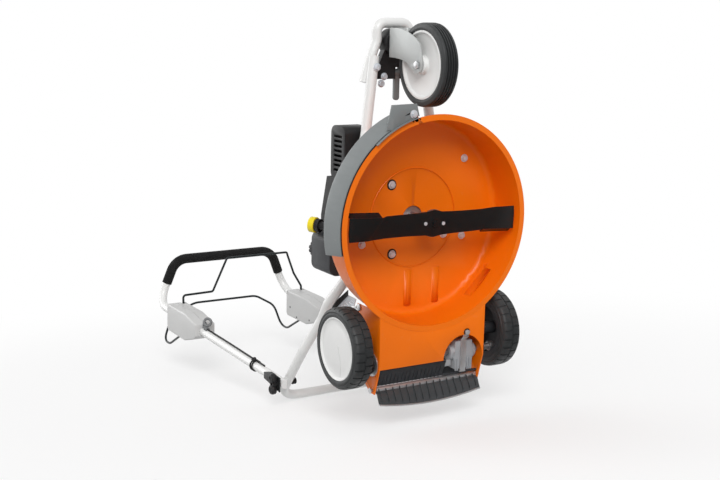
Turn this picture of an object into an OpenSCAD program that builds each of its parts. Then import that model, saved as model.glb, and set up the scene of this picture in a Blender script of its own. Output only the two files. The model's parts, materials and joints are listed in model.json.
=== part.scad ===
// Petrol lawn mower with three wheels, in separate pieces.
// X points forward, Y to the mower's left and Z up, from the ground below the blade spindle.
// Each piece has its own module, and NODES lists them all.

/* [Deck] */
// Outer radius of the deck rim
deck_r = 265; // [262:1:270]
// Height of the rim above the ground
rim_z = 40; // [36:1:44]
// Inside height from rim to ceiling
deck_h = 105; // [100:1:110]
// Thickness of the pressed sheet
sheet = 2.5; // [2:0.1:3]
// Width of the rim's turned out flange
flange_w = 14; // [10:1:18]
// How far the wall leans in from rim to ceiling
wall_lean = 5; // [2:1:8]
// Radius where the wall meets the ceiling
wall_fillet = 16; // [8:1:24]
// Radius of the raised engine platform
platform_r = 124; // [120:1:128]
// Height of the raised engine platform
platform_h = 3; // [2:0.5:4]
// Radius of the opening for the crankshaft
hub_hole_r = 29; // [27:1:32]
// Distance from the spindle to the flat pad beside the gearbox
pad_dist = 243; // [240:1:246]
// Height of the pad's ledge above the rim
pad_ledge = 48; // [40:1:60]

/* [Side skirt] */
// Angle where the skirt starts, at the front
skirt_a0 = -22; // [-26:1:-20]
// Angle where the skirt ends, at the rear
skirt_a1 = -102; // [-106:1:-98]
// Height of the skirt
skirt_h = 46; // [40:1:50]
// How far the skirt flares out
skirt_flare = 17; // [14:1:20]
// Thickness of the skirt
skirt_t = 3; // [2:0.5:4]
// Thickness of the black seal under the skirt
seal_t = 3; // [2:0.5:4]

/* [Rear panel] */
// Half the width between the rear cheeks
cheek_y = 152; // [149:1:153]
// Rear edge of the bottom plate
plate_x = 346; // [340:1:350]
// Rear end of the cheeks
cheek_x = 412; // [410:1:418]
// Half the width of the gearbox arch
arch_w = 59; // [56:1:62]

/* [Wheels] */
// Radius of all three tyres
tyre_r = 100; // [98:1:102]
// Rear axle's distance behind the spindle
rear_x = 296; // [294:1:298]
// Outer face of the rear wheels
rear_y = 243; // [241:1:245]
// Width of the rear tyres
rear_w = 53; // [50:1:54]
// Radius of the rear wheel discs
rear_disc_r = 77; // [74:1:80]
// Front axle's distance ahead of the spindle
front_x = 377; // [375:1:379]
// Width of the front tyre
front_w = 44; // [42:1:46]
// Radius of the front wheel disc
front_disc_r = 82; // [79:1:84]
// Radius of the wheel axles
axle_r = 6; // [5:0.5:7]
// Radial running clearance of shafts in bores
run_fit = 0.06; // [0.04:0.01:0.09]
// Clearance between pieces that don't touch
gap = 0.3; // [0.3:0.05:0.4]

/* [Front swivel] */
// Swivel axis ahead of the spindle
swivel_x = 425; // [424:1:427]
// Height of the fork's top plate
fork_z = 232; // [229:1:234]
// Radius of the swivel's black disc
swivel_r = 34; // [33:0.5:35]
// Radius of the yoke's bend round the swivel
yoke_bend = 47; // [47:0.5:49]
// Thickness of the fork's steel plate
fork_t = 4; // [3:0.5:5]
// Space between the wheel and the fork's cheeks
fork_room = 4; // [3:0.5:5]

/* [Frame and handle] */
// Outer radius of the frame tubes
frame_r = 13; // [12.5:0.25:13.5]
// Outer radius of the handle tubes
handle_r = 12.5; // [12:0.25:13]
// Wall of the frame and handle tubes
tube_wall = 1.5; // [1.2:0.1:2]
// Height of the frame tubes at the yoke
frame_z = 235; // [234:0.5:236]
// Clamp axis behind the spindle
clamp_x = 484; // [483:1:485]
// Height of the clamp axis
clamp_z = 446; // [445:1:447]
// Half the width between the upper handle's legs
upper_y = 206; // [205:1:207]
// Length of the upper handle from clamp to bend
upper_len = 828; // [820:2:836]
// How far the grip stands ahead of the clamp
grip_out = 174; // [172:1:178]
// Half the width of the grip between its corners
grip_y = 172; // [168:1:176]
// Radius of the bends in the handle tubes
handle_bend = 55; // [50:1:58]
// Outer radius of the foam grip
grip_r = 15.5; // [15:0.25:16]
// Radius of the bail wires
bail_r = 3.5; // [3:0.25:4]

/* [Control boxes] */
// Length of a control box along the leg
box_len = 228; // [220:4:236]
// Depth of a control box
box_deep = 86; // [82:1:90]
// Width of a control box
box_wide = 64; // [62:1:66]

/* [Blade] */
// Length of the blade
blade_len = 480; // [474:2:484]
// Width of the blade
blade_w = 60; // [56:1:64]
// Thickness of the blade
blade_t = 4; // [3:0.5:5]
// Height of the blade above the ground
blade_z = 54; // [53:0.5:56]
// Angle at which the blade stands
blade_turn = 3; // [0:1:4]

/* [Drive] */
// Pitch radius of the engine pulley
engine_pulley_r = 32; // [30:1:34]
// Pitch radius of the gearbox pulley
gearbox_pulley_r = 44; // [42:1:46]
// Height of the belt's middle
belt_z = 165; // [164:0.5:166]
// Gearbox input shaft behind the spindle
gearbox_x = 345; // [344:1:347]
// Gearbox input shaft to the left of the spindle
gearbox_y = 104; // [102:1:106]
// Drive shaft behind the spindle
drive_x = 338; // [337:0.5:339]
// Height of the drive shaft
drive_z = 75; // [74:0.5:76]
// Radius of the drive shaft
drive_r = 8; // [7:0.5:9]

/* [Engine] */
// Radius of the crankcase
case_r = 84; // [80:1:88]
// Bottom of the crankcase
case_z0 = 182; // [180:1:184]
// Top of the crankcase
case_z1 = 250; // [248:1:252]
// Radius of the crankshaft
crank_r = 12.5; // [12:0.25:13]
// Radius of the cylinder bore
bore_r = 28; // [27:0.5:29]
// Top of the engine shroud
shroud_z = 378; // [372:1:384]
// Half the width of the engine shroud
shroud_y = 132; // [128:1:136]
// Radius of the flywheel
fly_r = 86; // [82:1:90]

/* [Hidden] */
$fn = 64;

orange = [0.92, 0.38, 0.02];
white = [0.88, 0.88, 0.88];
grey = [0.55, 0.57, 0.57];
dark = [0.25, 0.25, 0.26];
black = [0.08, 0.08, 0.09];
steel = [0.7, 0.7, 0.72];

ceiling_z = rim_z + deck_h;
deck_top = ceiling_z + sheet;
platform_z = deck_top + platform_h;
wall_r0 = deck_r - flange_w;
wall_r1 = wall_r0 - wall_lean;
rim_clear = deck_r + gap;

// Engine bolts, given as angle about the spindle, on one bolt circle
engine_bolt_r = 106;
engine_bolts = [-37, -146.5, 118];
m8_r = 4;
m8_hole = 4.2;
washer_r = 10;
// Frame bolts on the deck, ahead of and behind the engine
frame_bolt_x = [141, -57];
frame_side = 148;
rail_z = deck_top + gap + frame_r;

// Bends and tubes along points

function unit(v) = v / norm(v);
function lean(p, i) = acos(unit(p[i - 1] - p[i]) * unit(p[i + 1] - p[i]));
function cut(p, i, bend) = (i == 0 || i == len(p) - 1) ? 0 : bend / tan(lean(p, i) / 2);

// A bend is this many times as thick as its straight runs, which end a little way inside it
bulge = 1.024;
lap = 0.5;

module bar(a, b, r, turn = 0) {
    d = b - a;
    translate(a) rotate([0, acos(d[2] / norm(d)), atan2(d[1], d[0])]) rotate(turn)
        cylinder(h = norm(d), r = r);
}

module elbow(p, i, bend, r) {
    u = unit(p[i - 1] - p[i]);
    w = unit(p[i + 1] - p[i]);
    c = p[i] + unit(u + w) * bend / sin(lean(p, i) / 2);
    ex = unit(p[i] + u * cut(p, i, bend) - c);
    ez = unit(cross(ex, p[i] + w * cut(p, i, bend) - c));
    ey = cross(ez, ex);
    multmatrix([[ex[0], ey[0], ez[0], c[0]], [ex[1], ey[1], ez[1], c[1]],
                [ex[2], ey[2], ez[2], c[2]], [0, 0, 0, 1]])
        rotate_extrude(angle = 180 - lean(p, i)) translate([bend, 0]) circle(r = r * bulge);
}

module bent_bar(p, bend, r) {
    for (i = [0 : len(p) - 2]) {
        d = unit(p[i + 1] - p[i]);
        bar(p[i] + d * (i == 0 ? 0 : cut(p, i, bend) - lap),
            p[i + 1] - d * (i == len(p) - 2 ? 0 : cut(p, i + 1, bend) - lap), r);
    }
    if (len(p) > 2)
        for (i = [1 : len(p) - 2]) elbow(p, i, bend, r);
}

// A hollow tube whose ends stay open
module bent_tube(p, bend, r, wall) {
    n = len(p) - 1;
    inner = [for (i = [0 : n]) i == 0 ? p[0] - unit(p[1] - p[0])
        : i == n ? p[n] + unit(p[n] - p[n - 1]) : p[i]];
    difference() {
        bent_bar(p, bend, r);
        bent_bar(inner, bend, r - wall);
    }
}

function mirrored(p) = [for (q = p) [q[0], -q[1], q[2]]];
function back(p) = [for (i = [len(p) - 1 : -1 : 0]) p[i]];

module both_sides() {
    children();
    mirror([0, 1, 0]) children();
}

// A rounded rectangle centred on the origin, made of exact arcs
module round_rect(x, y, r) {
    square([x - 2 * r, y], center = true);
    square([x, y - 2 * r], center = true);
    for (sx = [-1, 1], sy = [-1, 1])
        translate([sx * (x / 2 - r), sy * (y / 2 - r)]) circle(r = r);
}

module round_box(x, y, z, r) {
    linear_extrude(z) round_rect(x, y, r);
}

module ring(r1, r0, h) {
    difference() {
        cylinder(h = h, r = r1);
        translate([0, 0, -1]) cylinder(h = h + 2, r = r0);
    }
}

// Moves a piece's Z axis onto Y, at a place
module along_y(x, y, z) {
    translate([x, y, z]) rotate([-90, 0, 0]) children();
}

// A plate drawn in X and Z, with its low face at y
module xz_plate(y, t) {
    translate([0, y + t, 0]) rotate([90, 0, 0]) linear_extrude(t) children();
}

module wedge(a0, a1, r) {
    n = 8;
    polygon(concat([[0, 0]], [for (i = [0 : n]) let (a = a0 + (a1 - a0) * i / n)
        [r * cos(a), r * sin(a)]]));
}

// Deck

function fillet_arc(r_corner, z_corner, f) = [for (a = [0 : 15 : 90])
    [r_corner - f + f * cos(a), z_corner - f + f * sin(a)]];

module deck_profile() {
    polygon(concat(
        [[hub_hole_r, platform_z], [hub_hole_r, platform_z - sheet],
         [platform_r, platform_z - sheet], [platform_r + 4, ceiling_z]],
        back(fillet_arc(wall_r1, ceiling_z, wall_fillet)),
        [[wall_r0, rim_z], [deck_r, rim_z], [deck_r, rim_z + sheet],
         [wall_r0 + sheet, rim_z + sheet]],
        fillet_arc(wall_r1 + sheet, deck_top, wall_fillet + sheet),
        [[platform_r + 4, deck_top], [platform_r, platform_z]]));
}

lug_a = -16.5;
lug_r = deck_r + 14;
lug_w = 26;
side_lug_a = -88;
side_lug_z = rim_z + skirt_h + gap + skirt_t;

module deck_lug(z, a, r0, r1) {
    rotate(a) translate([r0, -lug_w / 2, z]) cube([r1 - r0, lug_w, sheet]);
}

bead_y = [-12, 72];
bead_r = 16;
bead_drop = 11;

module deck_housing() color(orange) {
    difference() {
        union() {
            rotate_extrude($fn = 128) deck_profile();
            intersection() {
                rotate(135) translate([pad_dist, -80, rim_z + pad_ledge])
                    cube([30, 160, deck_h - pad_ledge - wall_fillet]);
                cylinder(h = ceiling_z, r = wall_r1 + 1, $fn = 128);
            }
            deck_lug(rim_z, lug_a, deck_r - 2, lug_r + 11);
            deck_lug(side_lug_z, side_lug_a, wall_r1 - 1, deck_r + 9);
            intersection() {
                for (y = bead_y)
                    translate([-platform_r - 8, y, ceiling_z + bead_drop]) rotate([0, -90, 0])
                        cylinder(h = 90, r = bead_r);
                cylinder(h = ceiling_z + sheet / 2, r = wall_r1);
            }
        }
        for (a = engine_bolts) rotate(a) translate([engine_bolt_r, 0, 0])
            cylinder(h = 300, r = m8_hole);
        for (x = frame_bolt_x, s = [-1, 1]) translate([x, s * frame_side, ceiling_z - 5])
            cylinder(h = 50, r = m8_hole);
        rotate(lug_a) translate([lug_r, 0, 0]) cylinder(h = 100, r = m8_hole);
        rotate(side_lug_a) translate([deck_r, 0, side_lug_z - 5]) cylinder(h = 30, r = m8_hole);
    }
}

// Rear panel with its cheeks

plate_y = cheek_y + sheet;
arch_y = 92;
rod_x = -404;
rod_z = 71;
rod_r = 4;
shaft_hole_r = 20;

module rear_panel() color(orange) {
    difference() {
        union() {
            translate([-plate_x, -plate_y, rim_z]) cube([plate_x - 200, 2 * plate_y, sheet]);
            translate([-plate_x, -plate_y, ceiling_z]) cube([plate_x - 200, 2 * plate_y, sheet]);
            both_sides() xz_plate(cheek_y, sheet) polygon([[-200, rim_z], [-plate_x, rim_z],
                [-cheek_x, rod_z - 12], [-cheek_x, rod_z + 12], [-plate_x - 12, deck_top],
                [-200, deck_top]]);
        }
        cylinder(h = rim_z + sheet + gap, r = rim_clear, $fn = 128);
        cylinder(h = 300, r = wall_r0 + sheet + gap, $fn = 128);
        translate([-plate_x, arch_y, rim_z - 1]) scale([0.8, 0.8, 1]) cylinder(h = 5, r = arch_w / 0.8);
        translate([-gearbox_x, gearbox_y, ceiling_z - 1]) cylinder(h = 5, r = shaft_hole_r);
        along_y(-drive_x, -200, drive_z) cylinder(h = 400, r = drive_r + 1);
        along_y(rod_x, -200, rod_z) cylinder(h = 400, r = rod_r + run_fit);
        translate([strap_bolt_x, strap_y, 0]) cylinder(h = 100, r = m8_hole);
    }
}

// Skirt and its seal

seal_r = rim_clear;
skirt_r = seal_r + seal_t + gap;

module arc_sweep(a0, a1) {
    rotate(a1) rotate_extrude(angle = a0 - a1, $fn = 128) children();
}

module skirt_seal() color(black)
    arc_sweep(skirt_a0, skirt_a1) translate([seal_r, rim_z]) square([seal_t, 8]);

module deck_skirt() color(grey) {
    top = rim_z + skirt_h;
    difference() {
        union() {
            arc_sweep(skirt_a0, skirt_a1) polygon([[skirt_r, rim_z], [skirt_r + skirt_t, rim_z],
                [skirt_r + skirt_flare, top], [skirt_r + skirt_flare, top + skirt_t],
                [wall_r0 + sheet + gap, top + skirt_t], [wall_r0 + sheet + gap, top],
                [skirt_r + skirt_flare - skirt_t, top]]);
            translate([0, 0, rim_z - gap - skirt_t]) linear_extrude(skirt_t)
                polygon([[262, -62], [292, -70], [290, -140], [232, -152], [238, -106], [272, -96]]);
            translate([0, 0, rim_z - gap - skirt_t]) linear_extrude(skirt_t + gap + 4) intersection() {
                difference() {
                    circle(r = skirt_r + skirt_t - gap, $fn = 128);
                    circle(r = skirt_r + gap, $fn = 128);
                }
                wedge(-24, -31, 400);
            }
        }
        rotate(lug_a) translate([lug_r, 0, 0]) cylinder(h = 100, r = m8_hole);
        rotate(side_lug_a) translate([deck_r, 0, 0]) cylinder(h = 200, r = m8_hole);
        cylinder(h = rim_z - gap / 2, r = deck_r + gap, $fn = 128);
    }
}

// Bolts

module hex_head(r, h) {
    cylinder(h = h, r = r, $fn = 6);
}

// A bolt pointing up from z, with its washer and head below
module bolt_up(z, long, head = true) {
    translate([0, 0, z - 2]) cylinder(h = 2, r = washer_r);
    translate([0, 0, z - 2 - 5.5]) hex_head(7.5, 5.5);
    translate([0, 0, z - 2]) cylinder(h = long + 2, r = m8_r);
}

module hex_bolts() color(steel) {
    for (a = engine_bolts) rotate(a) translate([engine_bolt_r, 0, 0])
        bolt_up(platform_z - sheet, 18);
    for (x = frame_bolt_x, s = [-1, 1]) translate([x, s * frame_side, 0])
        bolt_up(ceiling_z, sheet + gap + 2 * frame_r);
    rotate(lug_a) translate([lug_r, 0, 0]) bolt_up(rim_z - gap - skirt_t, sheet + skirt_t + gap + 6);
    rotate(side_lug_a) translate([deck_r, 0, side_lug_z + sheet]) mirror([0, 0, 1])
        bolt_up(0, sheet + skirt_t + gap + 3);
    both_sides() translate([yoke_bolt_x, bolt_y, frame_z - frame_r - yoke_bolt_drop])
        bolt_up(0, 2 * frame_r + 2 * handle_r + gap + 4 + yoke_bolt_drop);
}

// Frame tubes and yoke

yoke_z = frame_z + frame_r + handle_r + gap;
yoke_back = [326, 81, yoke_z];
yoke_turn = [404, 57, yoke_z];
function yoke_side(x) = yoke_back[1]
    + (yoke_turn[1] - yoke_back[1]) * (x - yoke_back[0]) / (yoke_turn[0] - yoke_back[0]);

yoke_bolt_x = 366;
bolt_y = yoke_side(yoke_bolt_x) + 2;

// The frame tube slopes down behind its end, so the washer sits this much lower
yoke_bolt_drop = 3.5;

// The tube's joint with the lower handle, behind the rear wheel
sleeve_start = [-228, 172, 263];
sleeve_dir = unit([-112, 0, 71]);
sleeve_len = 42;
sleeve_end = sleeve_start + sleeve_dir * sleeve_len;
spigot_len = 34;

frame_path = [[392, 69, frame_z], [200, 98, 220], [150, frame_side, rail_z],
    [-108, frame_side, rail_z], sleeve_start, sleeve_end];

module frame_tubes() color(white) both_sides() difference() {
    bent_tube(frame_path, 26, frame_r, tube_wall);
    for (x = frame_bolt_x) translate([x, frame_side, rail_z - 50]) cylinder(h = 100, r = m8_hole);
    translate([yoke_bolt_x, bolt_y, frame_z - 50]) cylinder(h = 100, r = m8_hole);
}

module front_yoke() color(white) {
    nose = swivel_x + yoke_bend;
    half = [yoke_back, yoke_turn, [swivel_x + 2, yoke_bend, yoke_z], [nose, yoke_bend, yoke_z]];
    path = concat(half, back(mirrored(half)));
    difference() {
        bent_tube(path, yoke_nose, handle_r, tube_wall);
        both_sides() translate([yoke_bolt_x, bolt_y, yoke_z - 50])
            cylinder(h = 100, r = m8_hole);
    }
}

// Front swivel

yoke_nose = 34;
stem_r = 10;
disc_z = fork_z + fork_t + gap;
housing_top = yoke_z + 16;

module swivel_housing() color(black) difference() {
    union() {
        translate([swivel_x, 0, disc_z]) cylinder(h = housing_top - disc_z, r = swivel_r - 0.3);
        translate([0, 0, yoke_z - 8]) linear_extrude(20) polygon([[334, -60], [swivel_x, -20],
            [swivel_x, 20], [334, 60]]);
    }
    translate([swivel_x, 0, disc_z - 1]) cylinder(h = 80, r = stem_r + run_fit);
    both_sides() translate([yoke_back[0], yoke_back[1], yoke_z - 20])
        rotate(atan2(yoke_turn[1] - yoke_back[1], yoke_turn[0] - yoke_back[0]))
            translate([-20, -handle_r - gap, 0]) cube([98, 60, 60]);
    along_y(lever_x, -100, lever_z) cylinder(h = 200, r = 4 + run_fit);
    translate([lever_x - 40, lever_y - lever_w / 2 - gap, 0]) cube([53, lever_w + 2 * gap, 400]);
}

lever_x = 350;
lever_y = 14;
lever_w = 16;
lever_z = yoke_z + 2;

module lock_lever() color(grey) {
    translate([0, lever_y - lever_w / 2, 0]) {
        along_y(lever_x, 0, lever_z) cylinder(h = lever_w, r = 9);
        translate([lever_x - 62, 0, lever_z - 5]) cube([62, lever_w, 8]);
        translate([lever_x - 62, lever_w / 2, lever_z - 5]) cylinder(h = 8, r = lever_w / 2);
    }
    along_y(lever_x, lever_y - 24, lever_z) cylinder(h = 48, r = 4);
}

fork_y = front_w / 2 + fork_room;

module swivel_fork() color(grey) difference() {
    union() {
        translate([swivel_x - 33, -fork_y - fork_t, fork_z]) cube([66, 2 * (fork_y + fork_t), fork_t]);
        translate([swivel_x, 0, fork_z]) cylinder(h = housing_top - fork_z + 8, r = stem_r);
        translate([swivel_x, 0, housing_top + gap]) cylinder(h = 6, r = stem_r + 5);
        both_sides() xz_plate(fork_y, fork_t) {
            polygon([[swivel_x - 33, fork_z + fork_t], [swivel_x - 33, fork_z - 26],
                [front_x + 2, tyre_r + 46], [front_x - 17, tyre_r + 4], [front_x + 16, tyre_r - 6],
                [swivel_x, tyre_r + 30], [swivel_x + 30, fork_z - 40], [swivel_x + 33, fork_z + fork_t]]);
            translate([front_x, tyre_r]) circle(r = 17);
        }
    }
    along_y(front_x, -100, tyre_r) cylinder(h = 200, r = axle_r + run_fit);
}

module wheel_disc(r, w, bore) {
    rotate_extrude() polygon([[bore, 0], [20, 0], [22, 7], [r - 12, 5], [r - 6, 1], [r, 1],
        [r, w - 1], [r - 6, w - 1], [r - 12, w - 5], [22, w - 7], [20, w], [bore, w]]);
}

module tyre(r, r_in, w) {
    rotate_extrude($fn = 96) polygon([[r_in, 0], [r - 14, 0], [r - 5, 3], [r, 9], [r, w - 9],
        [r - 5, w - 3], [r - 14, w], [r_in, w]]);
}

module front_wheel() color(white)
    along_y(front_x, -front_w / 2, tyre_r) wheel_disc(front_disc_r, front_w, axle_r + run_fit);

module front_tyre() color(dark) along_y(front_x, -front_w / 2, tyre_r)
    tyre(tyre_r, front_disc_r + 0.02, front_w);

module front_axle() color(steel) along_y(front_x, 0, tyre_r) {
    translate([0, 0, -fork_y - fork_t - 9]) cylinder(h = 2 * (fork_y + fork_t + 9), r = axle_r);
    for (s = [-1, 1]) scale([1, 1, s]) translate([0, 0, fork_y + fork_t + gap]) hex_head(10, 6);
}

// Rear wheels, arms and drive shaft

arm_y0 = 160;
arm_t = 6;
boss_r = 15;
boss_end = arm_y0 + arm_t + 8;
wheel_in = rear_y - rear_w;
arm_span = norm([drive_x - rear_x, tyre_r - drive_z]);
arm_tilt = atan2(tyre_r - drive_z, drive_x - rear_x);
sector_r = 150;
sector_w = 15;

module height_plates() color(steel) both_sides() difference() {
    union() {
        xz_plate(plate_y + gap, 2.5) translate([-drive_x, drive_z]) {
            circle(r = 30);
            intersection() {
                difference() {
                    circle(r = sector_r);
                    circle(r = sector_r - sector_w);
                }
                wedge(24, 92, 300);
            }
            rotate(58) translate([0, -12]) square([sector_r - sector_w + 1, 24]);
        }
        along_y(-drive_x, plate_y + gap, drive_z) cylinder(h = boss_end - plate_y - gap, r = boss_r);
    }
    along_y(-drive_x, 0, drive_z) cylinder(h = 300, r = drive_r + run_fit);
    for (a = [30 : 9 : 84]) translate([-drive_x, 0, drive_z]) rotate([0, -a, 0])
        along_y(sector_r - 6, 0, 0) cylinder(h = 300, r = 2.6);
}

module height_arm(side) color(dark) scale([1, side, 1]) difference() {
    union() {
        xz_plate(arm_y0, arm_t) {
            translate([-drive_x, drive_z]) circle(r = boss_r + 9);
            translate([-rear_x, tyre_r]) circle(r = 16);
            translate([-drive_x, drive_z]) rotate(arm_tilt) translate([0, -14]) square([arm_span, 28]);
            translate([-drive_x, drive_z]) rotate(85) translate([0, -8]) square([sector_r + 14, 16]);
            translate([-drive_x, drive_z]) rotate(85) translate([sector_r + 14, 0]) circle(r = 8);
        }
        along_y(-rear_x, arm_y0, tyre_r) cylinder(h = rear_y - 14 - arm_y0, r = axle_r);
        along_y(-rear_x, arm_y0 + arm_t, tyre_r)
            cylinder(h = wheel_in - arm_y0 - arm_t - 3, r = axle_r + 5);
    }
    along_y(-drive_x, 0, drive_z) cylinder(h = 300, r = boss_r + run_fit);
}

module height_arm_left() height_arm(1);
module height_arm_right() height_arm(-1);

pinion_r = 12;

module drive_shaft() color(steel) along_y(-drive_x, 0, drive_z) {
    translate([0, 0, -wheel_in - 16]) cylinder(h = 2 * wheel_in + 32, r = drive_r);
    for (s = [-1, 1]) scale([1, 1, s]) translate([0, 0, wheel_in + 4]) cylinder(h = 14, r = pinion_r);
}

// The drum inside a rear wheel, which the pinion drives from within
drum_r = arm_span + pinion_r + 1;

module rear_wheel(side) color(white) scale([1, side, 1])
    along_y(-rear_x, wheel_in, tyre_r) rotate_extrude() polygon([[axle_r + run_fit, 0], [16, 0],
        [16, rear_w - 18], [drum_r, rear_w - 18], [drum_r, 3], [drum_r + 4, 3], [rear_disc_r, 1],
        [rear_disc_r, rear_w - 1], [rear_disc_r - 5, rear_w - 1], [rear_disc_r - 14, rear_w - 8],
        [24, rear_w - 6], [0, rear_w - 8], [0, rear_w - 13], [axle_r + run_fit, rear_w - 13]]);

module rear_wheel_left() rear_wheel(1);
module rear_wheel_right() rear_wheel(-1);

module rear_tyre(side) color(dark) scale([1, side, 1]) along_y(-rear_x, wheel_in, tyre_r)
    tyre(tyre_r, rear_disc_r + 0.02, rear_w);

module rear_tyre_left() rear_tyre(1);
module rear_tyre_right() rear_tyre(-1);

// Gearbox, strap, pulleys and belt

gear_z0 = drive_z - 20;
gear_z1 = ceiling_z - 6;
input_r = 6;
strap_y = 101;
strap_w = 17;
strap_bolt_x = -281;
strap_t = 3;

module gearbox_housing() color(steel) difference() {
    union() {
        translate([-gearbox_x, gearbox_y, gear_z0]) cylinder(h = gear_z1 - gear_z0, r = 30);
        along_y(-drive_x, gearbox_y - 38, drive_z) cylinder(h = 76, r = 20);
        translate([-gearbox_x - 34, gearbox_y - 26, gear_z0]) cube([72, 52, 34]);
    }
    along_y(-drive_x, 0, drive_z) cylinder(h = 300, r = drive_r + run_fit);
    translate([-gearbox_x, gearbox_y, gear_z1 - 26]) cylinder(h = 40, r = input_r + run_fit);
}

module gearbox_strap() color(grey) difference() {
    xz_plate(strap_y - strap_w / 2, strap_w) {
        polygon([[-270, rim_z + sheet], [-270, rim_z + sheet + strap_t],
            [-293, rim_z + sheet + strap_t], [-304, gear_z0], [-384, gear_z0],
            [-384, gear_z0 + 14], [-387, gear_z0 + 14], [-387, gear_z0 - strap_t],
            [-302, gear_z0 - strap_t], [-294, rim_z + sheet]]);
    }
    translate([strap_bolt_x, strap_y, 0]) cylinder(h = 100, r = m8_hole);
}

groove_h = 12;
belt_t = 5;
belt_h = 9;

module pulley(r, bore) difference() {
    rotate_extrude() polygon([[bore, -groove_h], [r + 8, -groove_h], [r + 8, -groove_h + 3],
        [r, -belt_h / 2 - 1], [r, belt_h / 2 + 1], [r + 8, groove_h - 3], [r + 8, groove_h],
        [bore, groove_h]]);
    translate([0, 0, -50]) cylinder(h = 100, r = bore);
}

module engine_pulley() color(steel) translate([0, 0, belt_z])
    pulley(engine_pulley_r, crank_r + 0.02);

module gearbox_pulley() color(steel) translate([-gearbox_x, gearbox_y, 0]) {
    translate([0, 0, belt_z]) pulley(gearbox_pulley_r, input_r - 0.5);
    translate([0, 0, gear_z1 - 22]) cylinder(h = belt_z + groove_h + 3 - gear_z1 + 22, r = input_r);
}

// The space inside a loop round two pulleys
module belt_loop(r0, r1, h) {
    d = [-gearbox_x, gearbox_y];
    a = atan2(d[1], d[0]);
    t = acos((r0 - r1) / norm(d));
    cylinder(h = h, r = r0);
    translate([d[0], d[1], 0]) cylinder(h = h, r = r1);
    linear_extrude(h) polygon([r0 * [cos(a + t), sin(a + t)], d + r1 * [cos(a + t), sin(a + t)],
        d + r1 * [cos(a - t), sin(a - t)], r0 * [cos(a - t), sin(a - t)]]);
}

module drive_belt() color(black) translate([0, 0, belt_z - belt_h / 2]) difference() {
    belt_loop(engine_pulley_r + gap + belt_t, gearbox_pulley_r + gap + belt_t, belt_h);
    translate([0, 0, -1]) belt_loop(engine_pulley_r + gap, gearbox_pulley_r + gap, belt_h + 2);
}

// Engine

web_z = case_z0 + 12;
crank_top = shroud_z - 40;
cyl_z = case_z0 + 30;
barrel_r = bore_r + 5;
cyl_x0 = case_r - 18;
cyl_x1 = 146;
head_x1 = 178;

module crankshaft() color(steel) difference() {
    union() {
        translate([0, 0, blade_z + blade_t / 2 + 8]) cylinder(h = crank_top - blade_z - 10, r = crank_r);
        translate([0, 0, web_z]) cylinder(h = 8, r = 30);
        translate([0, 0, case_z1 - 22]) cylinder(h = 8, r = 30);
        translate([20, 0, web_z]) cylinder(h = case_z1 - 14 - web_z, r = 9);
    }
    translate([0, 0, blade_z]) cylinder(h = 50, r = 5 + run_fit);
}

module crankcase() color(steel) difference() {
    union() {
        translate([0, 0, case_z0]) cylinder(h = case_z1 - case_z0, r = case_r);
        for (a = engine_bolts) rotate(a) {
            translate([engine_bolt_r, 0, platform_z]) cylinder(h = case_z0 - platform_z + 20, r = 13);
            translate([case_r - 12, -10, case_z0 + 4]) cube([engine_bolt_r - case_r + 12, 20, 15]);
        }
        translate([0, 0, case_z1 - 4]) round_box(272, 2 * shroud_y - 2, 4, 74);
    }
    translate([filter_x0 - gap, filter_y1 + gap - 200, case_z1 - 5]) cube([200, 200, 10]);
    bar(oil_base, oil_top, oil_r + gap);
    translate([0, 0, case_z0 + 8]) cylinder(h = case_z1 - case_z0 - 16, r = case_r - 23);
    cylinder(h = 400, r = crank_r + run_fit);
    for (a = engine_bolts) rotate(a) translate([engine_bolt_r, 0, 0])
        cylinder(h = case_z0 + 6, r = m8_hole);
    translate([case_r - 34, 0, cyl_z]) rotate([0, 90, 0]) cylinder(h = 60, r = bore_r);
    translate([cyl_x0, -50 - gap, case_z0 - 1]) cube([60, 100 + 2 * gap, case_z1 - case_z0 - 3]);
}

module cylinder_block(x0, x1, w) {
    translate([x0, 0, cyl_z]) rotate([0, 90, 0]) cylinder(h = x1 - x0, r = barrel_r);
    for (x = [x0 + 3 : 9 : x1 - 3]) translate([x, -w / 2, case_z0 + 2])
        cube([3, w, case_z1 - case_z0 - 8]);
}

module cylinder_bored() color(grey) difference() {
    cylinder_block(cyl_x0 + gap, cyl_x1, 100);
    translate([0, 0, cyl_z]) rotate([0, 90, 0]) cylinder(h = 400, r = bore_r);
}

module cylinder_head() color(grey) difference() {
    cylinder_block(cyl_x1, head_x1, 92);
    translate([head_x1 - 14, 0, cyl_z]) rotate([0, 90, 0]) cylinder(h = 40, r = 7);
}

module piston() color(steel) translate([cyl_x0 + 6, 0, cyl_z]) rotate([0, 90, 0]) difference() {
    cylinder(h = 44, r = bore_r - run_fit);
    translate([0, 0, -1]) cylinder(h = 38, r = bore_r - 5);
    for (z = [34, 38]) translate([0, 0, z]) ring(bore_r + 1, bore_r - 2, 1.6);
}

fly_z = case_z1 + 10;

module flywheel() color(steel) difference() {
    union() {
        translate([0, 0, fly_z]) cylinder(h = 16, r = fly_r);
        translate([0, 0, fly_z]) cylinder(h = 34, r = 28);
        for (a = [0 : 24 : 359]) rotate(a) translate([44, -1.5, fly_z]) cube([fly_r - 50, 3, 30]);
    }
    cylinder(h = 400, r = crank_r + 0.02);
}

shroud_x0 = -136;
shroud_x1 = 168;
shroud_t = 3;
slope_a = 15;

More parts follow.
